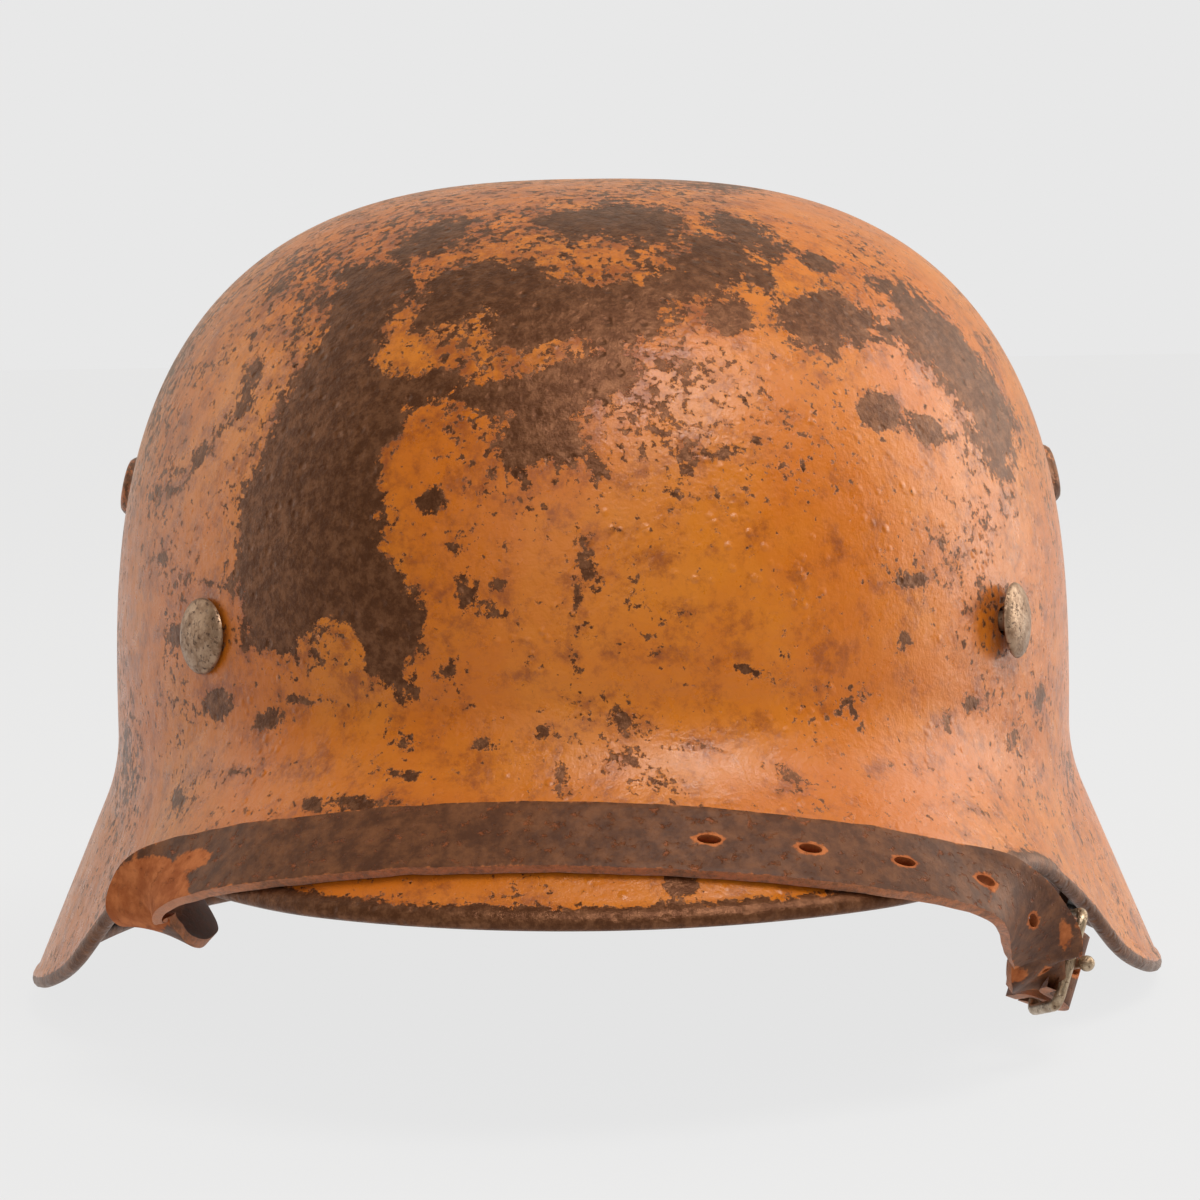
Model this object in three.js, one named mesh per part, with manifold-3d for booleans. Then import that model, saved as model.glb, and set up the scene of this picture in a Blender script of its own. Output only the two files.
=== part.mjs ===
// A worn steel combat helmet with a rolled rim, split rivets and a leather chin strap stowed over the visor.
// Millimetres, +Z up. The visor faces -Y, and left (-X) and right (+X) are as seen from the front.
// The origin lies under the middle of the helmet, on the plane that the lowest stretch of the rim stands on.
import * as THREE from 'three';
import { mergeVertices } from 'three/addons/utils/BufferGeometryUtils.js';
import Module from 'manifold-3d';

const wasm = await Module();
wasm.setup();

// Sizes of the pressed shell.
const DOME_LENGTH = 228;
const DOME_WIDTH = 195.6;
const HEIGHT = 167.2;
const WIDEST_HEIGHT = 59;
const VISOR_EDGE_HEIGHT = 38.7;
const VISOR_KNEE_HEIGHT = 65.3;
const KNEE_BLEND = 9;
const WALL = 1.2;

// The rolled rim: an oval bead that closes the edge of the sheet, worn flat where the helmet stands on it.
const RIM_ROLL_HEIGHT = 4.6;
const RIM_ROLL_THICKNESS = 3.2;
const RIM_ROLL_PROUD = 0.5;
const RIM_WORN = 0.4;

// Vents and rivets.
const VENT_PLAN = 90;
const VENT_HEIGHT = 105.5;
const VENT_BOSS_RADIUS = 6.2;
const VENT_BOSS_PROUD = 2;
const VENT_HOLE_RADIUS = 2.6;
// Section of the boss: shares of its own radius or of the hole's, with shares of how far it stands proud.
const VENT_BOSS_SECTION = {
  crest: 0.78,
  lip: 0.58,
  dish: 1.1,
  bore: 0.8,
  root: 0.7,
  foot: 0.15,
  fall: 0.55,
  throat: 0.4,
};
const LEFT_RIVET_PLAN = 47.5;
const RIGHT_RIVET_PLAN = 52.5;
const RIVET_HEIGHT = 82;
const RIVET_HEAD_RADIUS = 7.1;
const RIVET_HEAD_DOME = 2.3;
const RIVET_SHANK_RADIUS = 1.9;
const RIVET_HOLE_CLEARANCE = 0.9;
const PRONG_LENGTH = 7.5;
const PRONG_WIDTH = 3.6;
const PRONG_THICKNESS = 1;
const LOOSE_RIVET_LIFT = 1.7;
const LOOSE_RIVET_TURN = 9;
const RIVET_HEAD_SECTION = [
  { radius: 0.94, height: 0 },
  { radius: 1, height: 0.18 },
  { radius: 0.9, height: 0.46 },
  { radius: 0.66, height: 0.76 },
  { radius: 0.35, height: 0.95 },
];

// The band inside the shell, and the lugs and rings that carry the strap.
const BAND_HEIGHT = 28;
const BAND_THICKNESS = 1;
const BAND_BELOW_RIVET = 0.7;
const LUG_PLAN = 86;
const LUG_LENGTH = 5;
const LUG_WIDTH = 4;
const LUG_EYE_HEIGHT = 0.8;
const RING_WIRE_RADIUS = 1;
const RING_LENGTH = 9;
const RING_SIDE_ROOM = 0.8;
const RING_STANDS_OFF = 4.8;
const LEFT_RING_FALL = 25;
const RIGHT_RING_FALL = 54;

// Leather and buckle.
const STRAP_WIDTH = 14;
const STRAP_THICKNESS = 2;
const HOLE_PITCH = 17.5;
const HOLE_COUNT = 6;
const HOLE_LENGTH = 4.4;
const HOLE_WIDTH = 2.8;
const BUCKLE_WIRE_RADIUS = 1.1;
const BUCKLE_LENGTH = 14;
const BUCKLE_SIDE_ROOM = 0.9;
const BUCKLE_PLAN = 48.7;
const BUCKLE_HEIGHT = 20.9;
const BUCKLE_INSET = 4.4;
const BUCKLE_FORWARD = { up: -0.03, along: 0.866, out: -0.5 };
const BUCKLE_ACROSS = { up: 0.65, along: 0.2, out: 0.73 };
const PRONG_WIRE_RADIUS = 0.9;
const PRONG_KNOB_RADIUS = 1.5;
const FREE_TIP = 8;

// Room left between pieces that touch on the real helmet.
const GAP = 0.35;

// Sections of the shell at plan angles from the front (0) to the back (180), the same on both sides.
// rim is a share of the visor edge's height, knee of the visor knee's height and blend of the knee's blend.
// slope is how far the flare runs out for each millimetre that it falls, exponent how full the dome is.
const SHELL_SECTIONS = [
  { plan: 0, rim: 1, knee: 1, slope: 1.15, blend: 1, exponent: 2.6 },
  { plan: 22, rim: 1.013, knee: 0.988, slope: 1.11, blend: 1, exponent: 2.64 },
  { plan: 38, rim: 1.015, knee: 0.95, slope: 0.84, blend: 1, exponent: 2.68 },
  { plan: 48, rim: 0.95, knee: 0.88, slope: 0.62, blend: 1, exponent: 2.71 },
  { plan: 58, rim: 0.7, knee: 0.773, slope: 0.5, blend: 1, exponent: 2.74 },
  { plan: 68, rim: 0.35, knee: 0.72, slope: 0.42, blend: 0.9, exponent: 2.76 },
  { plan: 80, rim: 0.14, knee: 0.743, slope: 0.42, blend: 0.9, exponent: 2.78 },
  { plan: 100, rim: 0, knee: 0.789, slope: 0.45, blend: 0.9, exponent: 2.76 },
  { plan: 130, rim: 0, knee: 0.819, slope: 0.53, blend: 1, exponent: 2.6 },
  { plan: 155, rim: 0, knee: 0.842, slope: 0.53, blend: 1.1, exponent: 2.45 },
  { plan: 180, rim: 0, knee: 0.858, slope: 0.527, blend: 1.1, exponent: 2.4 },
];

// Stations of the long strap between the left ring and the buckle, by the shell that it lies on or hangs from.
// height is a share of the visor edge's height and stand of the strap's thickness, out of the shell's outside.
// up, along and out turn the strap's width to the shell's own directions there.
const LONG_STRAP_STATIONS = [
  { plan: -68, height: 1.21, stand: -3.7, up: 0.88, along: 0.3, out: 0.36 },
  { plan: -57, height: 0.98, stand: -4.7, up: 0.7, along: 0.17, out: 0.7 },
  { plan: -49, height: 0.83, stand: -5.6, up: 0.48, along: -0.25, out: 0.84 },
  { plan: -45.5, height: 0.78, stand: -3.8, up: 0.07, along: -0.5, out: 0.86 },
  { plan: -45, height: 0.79, stand: -1.9, up: -0.3, along: -0.6, out: 0.73 },
  { plan: -45, height: 0.86, stand: 0.1, up: -0.25, along: -0.65, out: 0.72 },
  { plan: -44.5, height: 0.95, stand: 1.05, up: 0.15, along: -0.75, out: 0.65 },
  { plan: -41, height: 1.06, stand: 1.1, up: 0.75, along: -0.5, out: 0.2 },
  { plan: -35, height: 1.16, stand: 0.95, up: 1, along: -0.1, out: 0 },
  { plan: -28, height: 1.24, stand: 0.85, up: 1, along: 0, out: 0 },
  { plan: -16, height: 1.33, stand: 0.7, up: 1, along: 0, out: 0 },
  { plan: -3, height: 1.355, stand: 0.7, up: 1, along: 0, out: 0 },
  { plan: 9.5, height: 1.32, stand: 0.7, up: 1, along: 0, out: 0 },
  { plan: 18.5, height: 1.25, stand: 0.8, up: 1, along: 0, out: 0 },
  { plan: 26, height: 1.165, stand: 0.95, up: 1, along: 0.05, out: 0 },
  { plan: 31, height: 1.085, stand: 0.95, up: 0.95, along: 0.3, out: 0.05 },
  { plan: 35, height: 1, stand: 1, up: 0.6, along: 0.72, out: 0.33 },
  { plan: 41.5, height: 0.73, stand: -1.9, up: 0, along: 0.56, out: 0.83 },
  { plan: 43, height: 0.635, stand: -2.8, up: 0, along: 0.3, out: 0.95 },
  { plan: 43.5, height: 0.565, stand: -3.9, up: 0.03, along: 0.15, out: 0.99 },
  { plan: 44.5, height: 0.535, stand: -4.45, up: 0.1, along: 0.12, out: 0.99 },
];

// Stations of the short strap between the buckle and the right ring, in the same columns.
const SHORT_STRAP_STATIONS = [
  { plan: 61.5, height: 0.5, stand: -5.4, up: 0.75, along: 0.04, out: 0.66 },
  { plan: 69, height: 0.64, stand: -5, up: 0.73, along: -0.28, out: 0.62 },
  { plan: 77.5, height: 1.03, stand: -4.4, up: 0.68, along: -0.57, out: 0.4 },
];

// Steps of the meshes.
const PLAN_STEPS = 60;
const DOME_ROWS = 10;
const SKIRT_ROWS = 6;
const BEAD_STEPS = 7;
const WIRE_SIDES = 6;
const STATION_STEPS = 3;
const CORNER_STEPS = 4;
const ROUND_SIDES = 20;
const BORE_SIDES = 12;
const KNOB_SIDES = 10;

// How far a bore runs so that it passes the sheet and the band behind it, and how close points count as one.
const BORE_LENGTH = 18;
const SAME_POINT = 1e-4;

const steel = { metalness: 0.6, roughness: 0.55 };
const paint = new THREE.MeshStandardMaterial({ color: 0xb8703a, roughness: 0.5, metalness: 0.2 });
const nickel = new THREE.MeshStandardMaterial({ color: 0x9a8a72, ...steel });
const darkSteel = new THREE.MeshStandardMaterial({ color: 0x4a3a30, ...steel });
const leather = new THREE.MeshStandardMaterial({ color: 0x4b2f22, roughness: 0.8, metalness: 0 });

// Value of one column of the shell's sections at any plan angle, smooth through the table's rows.
function sectionValue(column, plan) {
  const turn = ((plan % 360) + 360) % 360;
  const angle = turn > 180 ? 360 - turn : turn;
  const last = SHELL_SECTIONS.length - 1;
  const next = Math.min(last, Math.max(1, SHELL_SECTIONS.findIndex((row) => row.plan > angle)));
  const index = angle >= 180 ? last - 1 : next - 1;
  const slopeAt = (i) => {
    if (i === 0 || i === last) return 0;
    const [before, after] = [SHELL_SECTIONS[i - 1], SHELL_SECTIONS[i + 1]];
    return (after[column] - before[column]) / (after.plan - before.plan);
  };
  const [low, high] = [SHELL_SECTIONS[index], SHELL_SECTIONS[index + 1]];
  const span = high.plan - low.plan;
  const t = (angle - low.plan) / span;
  const [t2, t3] = [t * t, t * t * t];
  return low[column] * (2 * t3 - 3 * t2 + 1) + slopeAt(index) * span * (t3 - 2 * t2 + t)
    + high[column] * (3 * t2 - 2 * t3) + slopeAt(index + 1) * span * (t3 - t2);
}

// Horizontal direction straight out of the dome's oval plan.
function planNormal(plan, length, width) {
  const angle = THREE.MathUtils.degToRad(plan);
  return new THREE.Vector3(Math.sin(angle) / width, -Math.cos(angle) / length, 0).normalize();
}

// A point of the dome alone, at a depth inside its outer surface. A negative depth is outside it.
function domePoint(plan, height, depth = 0) {
  const angle = THREE.MathUtils.degToRad(plan);
  const length = DOME_LENGTH / 2 - depth;
  const width = DOME_WIDTH / 2 - depth;
  const rise = HEIGHT - depth - WIDEST_HEIGHT;
  const exponent = sectionValue('exponent', plan);
  const share = THREE.MathUtils.clamp((height - WIDEST_HEIGHT) / rise, 0, 1);
  const round = Math.pow(1 - Math.pow(share, exponent), 1 / exponent);
  return new THREE.Vector3(width * Math.sin(angle) * round, -length * Math.cos(angle) * round, height);
}

// A point of the shell: the dome with the flare of the visor, skirt and neck guard below its knee.
function shellPoint(plan, height, depth = 0) {
  const point = domePoint(plan, height, depth);
  const blend = sectionValue('blend', plan) * KNEE_BLEND;
  const slope = sectionValue('slope', plan);
  const fall = sectionValue('knee', plan) * VISOR_KNEE_HEIGHT - height;
  if (fall <= -blend) return point;
  const bend = Math.min(1, (fall + blend) / (2 * blend));
  const run = fall < blend ? (slope * (fall + blend) ** 2) / (4 * blend) : slope * fall;
  const flare = run - depth * (Math.hypot(1, slope * bend) - 1);
  const normal = planNormal(plan, DOME_LENGTH / 2 - depth, DOME_WIDTH / 2 - depth);
  return point.addScaledVector(normal, flare);
}

// The surface's own directions at a place: along the plan, up the sheet, and straight out of it.
function surfaceFrame(plan, height, depth = 0, place = shellPoint) {
  const step = 0.05;
  const along = place(plan + step, height, depth).sub(place(plan - step, height, depth)).normalize();
  const up = place(plan, height + step, depth).sub(place(plan, height - step, depth));
  up.addScaledVector(along, -up.dot(along)).normalize();
  const out = new THREE.Vector3().crossVectors(along, up);
  return { origin: place(plan, height, depth), along, up, out };
}

function rimHeight(plan) {
  return sectionValue('rim', plan) * VISOR_EDGE_HEIGHT - RIM_WORN;
}

// The rolled rim's section at a plan angle, from the sheet's outside, round the bottom, to its inside.
function rimBead(plan) {
  const halfTall = RIM_ROLL_HEIGHT / 2;
  const halfThick = RIM_ROLL_THICKNESS / 2;
  const sunk = halfThick - RIM_ROLL_PROUD;
  const { up, out } = surfaceFrame(plan, rimHeight(plan) + halfTall);
  const reach = Math.hypot(halfTall * up.z, halfThick * out.z);
  const centre = shellPoint(plan, rimHeight(plan) + reach, sunk);
  const start = Math.asin(sunk / halfThick);
  const end = 2 * Math.PI - Math.asin((WALL - sunk) / halfThick);
  return Array.from({ length: BEAD_STEPS + 1 }, (_, i) => {
    const turn = start + ((end - start) * i) / BEAD_STEPS;
    const point = centre.clone().addScaledVector(up, halfTall * Math.cos(turn));
    point.addScaledVector(out, halfThick * Math.sin(turn));
    point.z = Math.max(0, point.z);
    return point;
  });
}

// Heights of the rows down one side of the sheet: rounded over the dome, even down the skirt.
function rowHeights(plan, depth, bottom) {
  const exponent = sectionValue('exponent', plan);
  const rise = HEIGHT - depth - WIDEST_HEIGHT;
  const dome = Array.from({ length: DOME_ROWS }, (_, i) => {
    const turn = (Math.PI / 2) * ((i + 1) / DOME_ROWS);
    return WIDEST_HEIGHT + rise * Math.pow(Math.max(0, Math.cos(turn)), 2 / exponent);
  });
  const skirt = Array.from({ length: SKIRT_ROWS - 1 }, (_, i) => (
    THREE.MathUtils.lerp(WIDEST_HEIGHT, bottom, (i + 1) / SKIRT_ROWS)
  ));
  return [...dome, ...skirt];
}

// Closed rings of points joined into a skin. Open ends are closed round a pole, and a joined skin is a loop.
function skin(rings, { joined = false, poles = [] } = {}) {
  const count = rings[0].length;
  const points = rings.flat();
  const faces = [];
  const bands = joined ? rings.length : rings.length - 1;
  for (let ring = 0; ring < bands; ring += 1) {
    const upper = ring * count;
    const lower = ((ring + 1) % rings.length) * count;
    for (let i = 0; i < count; i += 1) {
      const next = (i + 1) % count;
      faces.push(upper + i, lower + i, lower + next, upper + i, lower + next, upper + next);
    }
  }
  if (!joined) {
    const middle = (ring) => ring.reduce((sum, p) => sum.add(p), new THREE.Vector3()).divideScalar(count);
    const first = points.push(poles[0] ?? middle(rings[0])) - 1;
    const last = points.push(poles[1] ?? middle(rings[rings.length - 1])) - 1;
    const base = (rings.length - 1) * count;
    for (let i = 0; i < count; i += 1) {
      const next = (i + 1) % count;
      faces.push(first, i, next, last, base + next, base + i);
    }
  }
  return outward(geometryOf(points, faces));
}

function geometryOf(points, faces) {
  const geometry = new THREE.BufferGeometry().setFromPoints(points);
  geometry.setIndex(faces);
  return geometry;
}

// The same geometry with its faces pointing out, whichever way round it was made.
function outward(geometry) {
  const position = geometry.getAttribute('position');
  const index = geometry.getIndex().array;
  const corner = [new THREE.Vector3(), new THREE.Vector3(), new THREE.Vector3()];
  let volume = 0;
  for (let i = 0; i < index.length; i += 3) {
    corner.forEach((point, k) => point.fromBufferAttribute(position, index[i + k]));
    volume += corner[0].dot(corner[1].clone().cross(corner[2]));
  }
  if (volume < 0) geometry.setIndex(Array.from(index).reverse());
  return geometry;
}

// A closed solid for joining and cutting, from a geometry with shared corners and no empty faces.
function solidOf(geometry) {
  const bare = geometry.clone();
  bare.deleteAttribute('normal');
  bare.deleteAttribute('uv');
  const merged = mergeVertices(bare, SAME_POINT);
  const index = merged.getIndex().array;
  const faces = [];
  for (let i = 0; i < index.length; i += 3) {
    const [a, b, c] = [index[i], index[i + 1], index[i + 2]];
    if (a !== b && b !== c && c !== a) faces.push(a, b, c);
  }
  const vertProperties = new Float32Array(merged.getAttribute('position').array);
  return new wasm.Manifold(new wasm.Mesh({ numProp: 3, vertProperties, triVerts: new Uint32Array(faces) }));
}

function meshOf(name, solid, material) {
  const result = solid.getMesh();
  const geometry = new THREE.BufferGeometry();
  geometry.setAttribute('position', new THREE.BufferAttribute(new Float32Array(result.vertProperties), 3));
  geometry.setIndex(Array.from(result.triVerts));
  geometry.computeVertexNormals();
  const mesh = new THREE.Mesh(geometry, material);
  mesh.name = name;
  return mesh;
}

// A geometry made round its Y axis, set on a frame with Y pointing out of the surface.
function setOn(geometry, { origin, along, out }) {
  const side = new THREE.Vector3().crossVectors(along, out);
  return geometry.applyMatrix4(new THREE.Matrix4().makeBasis(along, out, side).setPosition(origin));
}

// A turned body from radius and height pairs that start and end on the axis or close on themselves.
function turned(profile, sides) {
  return new THREE.LatheGeometry(profile.map(([radius, height]) => new THREE.Vector2(radius, height)), sides);
}

function drill(radius, depth, sides = BORE_SIDES) {
  return new THREE.CylinderGeometry(radius, radius, depth, sides);
}

// A round wire along a closed loop of points in a plane.
function wireLoop(points, radius, planeNormal) {
  const rings = points.map((point, i) => {
    const before = points[(i + points.length - 1) % points.length];
    const after = points[(i + 1) % points.length];
    const side = after.clone().sub(before).cross(planeNormal).normalize();
    return circleRing(point, side, planeNormal, radius);
  });
  return skin(rings, { joined: true });
}

function circleRing(centre, first, second, radius) {
  return Array.from({ length: WIRE_SIDES }, (_, i) => {
    const turn = (2 * Math.PI * i) / WIRE_SIDES;
    const point = centre.clone().addScaledVector(first, radius * Math.cos(turn));
    return point.addScaledVector(second, radius * Math.sin(turn));
  });
}

// Points round a rectangle with round corners, between two bars that run across a frame.
function roundedLoop({ origin, forward, across }, length, halfWidth) {
  const corner = halfWidth - STRAP_WIDTH / 2;
  const centres = [
    { x: length - corner, y: halfWidth - corner, from: 0 },
    { x: corner, y: halfWidth - corner, from: 90 },
    { x: corner, y: corner - halfWidth, from: 180 },
    { x: length - corner, y: corner - halfWidth, from: 270 },
  ];
  return centres.flatMap(({ x, y, from }) => Array.from({ length: CORNER_STEPS + 1 }, (_, i) => {
    const turn = THREE.MathUtils.degToRad(from + (90 * i) / CORNER_STEPS);
    const point = origin.clone().addScaledVector(forward, x + corner * Math.cos(turn));
    return point.addScaledVector(across, y + corner * Math.sin(turn));
  }));
}

function pressedShell() {
  const columns = Array.from({ length: PLAN_STEPS }, (_, i) => {
    const plan = (360 * i) / PLAN_STEPS;
    const bead = rimBead(plan);
    const outside = rowHeights(plan, 0, bead[0].z).map((height) => shellPoint(plan, height, 0));
    const inside = rowHeights(plan, WALL, bead[BEAD_STEPS].z).map((height) => shellPoint(plan, height, WALL));
    return [...outside, ...bead, ...inside.reverse()];
  });
  const rows = columns[0].map((_, row) => columns.map((column) => column[row]));
  const apexes = [new THREE.Vector3(0, 0, HEIGHT), new THREE.Vector3(0, 0, HEIGHT - WALL)];
  let shell = solidOf(skin(rows, { poles: apexes }));
  for (const plan of [-VENT_PLAN, VENT_PLAN]) {
    const frame = surfaceFrame(plan, VENT_HEIGHT);
    shell = shell.add(solidOf(setOn(ventBoss(), frame)));
    shell = shell.subtract(solidOf(setOn(drill(VENT_HOLE_RADIUS, BORE_LENGTH, ROUND_SIDES), frame)));
  }
  for (const { frame } of rivetPlaces()) {
    shell = shell.subtract(rivetHole(frame));
  }
  return meshOf('shell', shell, paint);
}

// The stamped ring round a vent, rooted in the wall.
function ventBoss() {
  const { crest, lip, dish, bore, root, foot, fall, throat } = VENT_BOSS_SECTION;
  const profile = [
    [VENT_BOSS_RADIUS, -WALL * root],
    [VENT_BOSS_RADIUS, VENT_BOSS_PROUD * foot],
    [VENT_BOSS_RADIUS * crest, VENT_BOSS_PROUD],
    [VENT_BOSS_RADIUS * lip, VENT_BOSS_PROUD],
    [VENT_HOLE_RADIUS * dish, VENT_BOSS_PROUD * fall],
    [VENT_HOLE_RADIUS * bore, VENT_BOSS_PROUD * throat],
    [VENT_HOLE_RADIUS * bore, -WALL * root],
    [VENT_BOSS_RADIUS, -WALL * root],
  ];
  return turned(profile, ROUND_SIDES);
}

function rivetPlaces() {
  return [
    { name: 'rivet_left', plan: -LEFT_RIVET_PLAN, lift: 0, turn: 0 },
    { name: 'rivet_right', plan: RIGHT_RIVET_PLAN, lift: LOOSE_RIVET_LIFT, turn: LOOSE_RIVET_TURN },
    { name: 'rivet_rear', plan: 180, lift: 0, turn: 0 },
  ].map((place) => ({ ...place, frame: surfaceFrame(place.plan, RIVET_HEIGHT) }));
}

function rivetHole(frame) {
  const bore = drill(RIVET_SHANK_RADIUS + RIVET_HOLE_CLEARANCE, BORE_LENGTH, ROUND_SIDES);
  return solidOf(setOn(bore, frame));
}

// A split rivet: domed head and shank, turned about the hole where it is loose, and two prongs bent up and down.
function splitRivet({ name, frame, lift, turn }) {
  const dome = RIVET_HEAD_SECTION.map(({ radius, height }) => (
    [RIVET_HEAD_RADIUS * radius, GAP + RIVET_HEAD_DOME * height]
  ));
  const profile = [[0, GAP], ...dome, [0, GAP + RIVET_HEAD_DOME]];
  const clench = WALL + BAND_THICKNESS + 2 * GAP + PRONG_THICKNESS / 2;
  const shankLength = lift + GAP + clench;
  const shank = drill(RIVET_SHANK_RADIUS, shankLength + GAP);
  shank.translate(0, GAP - (shankLength - GAP) / 2, 0);
  const pin = solidOf(turned(profile, ROUND_SIDES)).add(solidOf(shank));
  const tilt = new THREE.Matrix4().makeTranslation(0, lift, 0);
  tilt.multiply(new THREE.Matrix4().makeRotationZ(-THREE.MathUtils.degToRad(turn)));
  const tilted = pin.transform(tilt.elements);
  const prongs = solidOf(new THREE.BoxGeometry(PRONG_WIDTH, PRONG_THICKNESS, PRONG_LENGTH * 2));
  const body = tilted.add(prongs.translate([0, -clench - GAP / 2, 0]));
  const side = new THREE.Vector3().crossVectors(frame.along, frame.out);
  const basis = new THREE.Matrix4().makeBasis(frame.along, frame.out, side).setPosition(frame.origin);
  return meshOf(name, body.transform(basis.elements), nickel);
}

// Frame of a strap lug's ring: forward down the strap, across it, and outward to the shell, from the lug's eye.
function ringFrame(side, fall) {
  const depth = WALL + GAP + BAND_THICKNESS;
  const eyeHeight = bandBottom() + LUG_LENGTH * LUG_EYE_HEIGHT;
  const face = surfaceFrame(side * LUG_PLAN, eyeHeight, depth, domePoint);
  const turn = THREE.MathUtils.degToRad(fall);
  const toFront = face.along.clone().multiplyScalar(-side);
  const forward = toFront.clone().multiplyScalar(Math.cos(turn)).addScaledVector(face.up, -Math.sin(turn));
  const across = toFront.clone().multiplyScalar(Math.sin(turn)).addScaledVector(face.up, Math.cos(turn));
  const origin = face.origin.clone().addScaledVector(face.out, -RING_STANDS_OFF);
  return { origin, forward, across, outward: face.out };
}

function bandBottom() {
  return RIVET_HEIGHT - BAND_HEIGHT * BAND_BELOW_RIVET;
}

function linerBand() {
  const heights = [0, 0.5, 1].map((share) => bandBottom() + BAND_HEIGHT * share);
  const outside = WALL + GAP;
  const columns = Array.from({ length: PLAN_STEPS }, (_, i) => {
    const plan = (360 * i) / PLAN_STEPS;
    const outer = heights.map((height) => domePoint(plan, height, outside));
    const inner = heights.map((height) => domePoint(plan, height, outside + BAND_THICKNESS));
    return [...outer, ...inner.reverse()];
  });
  let band = solidOf(skin(columns, { joined: true }));
  for (const { frame } of rivetPlaces()) {
    band = band.subtract(rivetHole(frame));
  }
  for (const ring of [ringFrame(-1, LEFT_RING_FALL), ringFrame(1, RIGHT_RING_FALL)]) {
    band = band.add(strapLug(ring));
  }
  return meshOf('liner_band', band, darkSteel);
}

// A square lug on the band with the eye that a ring's wire runs through.
function strapLug({ origin, forward, outward }) {
  const eye = RING_WIRE_RADIUS + GAP;
  const inner = eye + RING_WIRE_RADIUS;
  const depth = RING_STANDS_OFF + inner + BAND_THICKNESS / 2;
  const width = outward.clone().cross(forward);
  const basis = new THREE.Matrix4().makeBasis(forward, width, outward).setPosition(origin);
  const block = new THREE.BoxGeometry(LUG_LENGTH, LUG_WIDTH, depth).translate(0, 0, depth / 2 - inner);
  const bore = drill(eye, LUG_WIDTH * 2);
  return solidOf(block.applyMatrix4(basis)).subtract(solidOf(bore.applyMatrix4(basis)));
}

function strapRing(name, frame) {
  const halfWidth = STRAP_WIDTH / 2 + RING_SIDE_ROOM + RING_WIRE_RADIUS;
  const loop = roundedLoop(frame, RING_LENGTH, halfWidth);
  return meshOf(name, solidOf(wireLoop(loop, RING_WIRE_RADIUS, frame.outward)), nickel);
}

// Frame of the buckle, at its front bar: forward along the strap, across it, and outward.
function buckleFrame() {
  const face = surfaceFrame(BUCKLE_PLAN, BUCKLE_HEIGHT, BUCKLE_INSET);
  const forward = mixed(face, BUCKLE_FORWARD);
  const across = mixed(face, BUCKLE_ACROSS);
  across.addScaledVector(forward, -across.dot(forward)).normalize();
  return { origin: face.origin, forward, across, outward: forward.clone().cross(across) };
}

// A direction given by how much it follows each of a surface's own directions.
function mixed(face, { up, along, out }) {
  const direction = face.up.clone().multiplyScalar(up);
  return direction.addScaledVector(face.along, along).addScaledVector(face.out, out).normalize();
}

function onFrame({ origin, forward, across, outward }, s, n, w = 0) {
  const point = origin.clone().addScaledVector(forward, s);
  return point.addScaledVector(outward, n).addScaledVector(across, w);
}

// Strap stations from a table that follows the shell.
function shellStations(rows) {
  return rows.map((row) => {
    const face = surfaceFrame(row.plan, row.height * VISOR_EDGE_HEIGHT, -row.stand * STRAP_THICKNESS);
    return { centre: face.origin, across: mixed(face, row) };
  });
}

// Strap stations that start with a sewn tail, turn round a bar and leave forward on its inner side.
function barLoop(frame, barRadius) {
  const radius = barRadius + GAP + STRAP_THICKNESS / 2;
  const leaf = STRAP_THICKNESS + GAP - radius;
  const tail = [[STRAP_THICKNESS * 3.4, leaf], [STRAP_THICKNESS * 2.4, leaf], [STRAP_THICKNESS * 1.1, radius * 0.75]];
  const turn = [90, 126, 162, 198, 234, 270].map((degrees) => {
    const angle = THREE.MathUtils.degToRad(degrees);
    return [radius * Math.cos(angle), radius * Math.sin(angle)];
  });
  const leave = [[STRAP_THICKNESS * 1.5, -radius], [STRAP_THICKNESS * 3.5, -radius]];
  return [...tail, ...turn, ...leave].map(([s, n]) => ({ centre: onFrame(frame, s, n), across: frame.across }));
}

// Strap stations through the buckle: under its front bar, up over the rear bar's loop, to the free tip.
function bucklePass(frame) {
  const under = -(BUCKLE_WIRE_RADIUS + GAP + STRAP_THICKNESS / 2) - GAP / 2;
  const over = BUCKLE_WIRE_RADIUS + 2.3 * GAP + STRAP_THICKNESS * 1.5;
  const steps = [[-0.14, 0], [0, 0], [0.16, 0.03], [0.34, 0.26], [0.5, 0.6], [0.64, 0.87], [0.8, 1], [1, 1]];
  const pass = steps.map(([s, share]) => [s * BUCKLE_LENGTH, THREE.MathUtils.lerp(under, over, share)]);
  const tip = [BUCKLE_LENGTH + FREE_TIP, over - STRAP_THICKNESS * 0.8];
  return [...pass, tip].map(([s, n]) => ({ centre: onFrame(frame, s, n), across: frame.across }));
}

// Evenly stepped stations on one smooth curve through the given ones, each with its own directions.
function smoothStations(stations) {
  const centres = new THREE.CatmullRomCurve3(stations.map((station) => station.centre));
  const acrosses = new THREE.CatmullRomCurve3(stations.map((station) => station.across));
  const steps = (stations.length - 1) * STATION_STEPS;
  return Array.from({ length: steps + 1 }, (_, i) => {
    const forward = centres.getTangent(i / steps).normalize();
    const across = acrosses.getPoint(i / steps);
    across.addScaledVector(forward, -across.dot(forward)).normalize();
    return { origin: centres.getPoint(i / steps), forward, across, outward: forward.clone().cross(across) };
  });
}

function ribbon(stations) {
  const [w, t] = [STRAP_WIDTH / 2, STRAP_THICKNESS / 2];
  const corners = [[w, t], [w, -t], [-w, -t], [-w, t]];
  const rings = stations.map((station) => corners.map(([width, n]) => onFrame(station, 0, n, width)));
  return solidOf(skin(rings));
}

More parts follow.
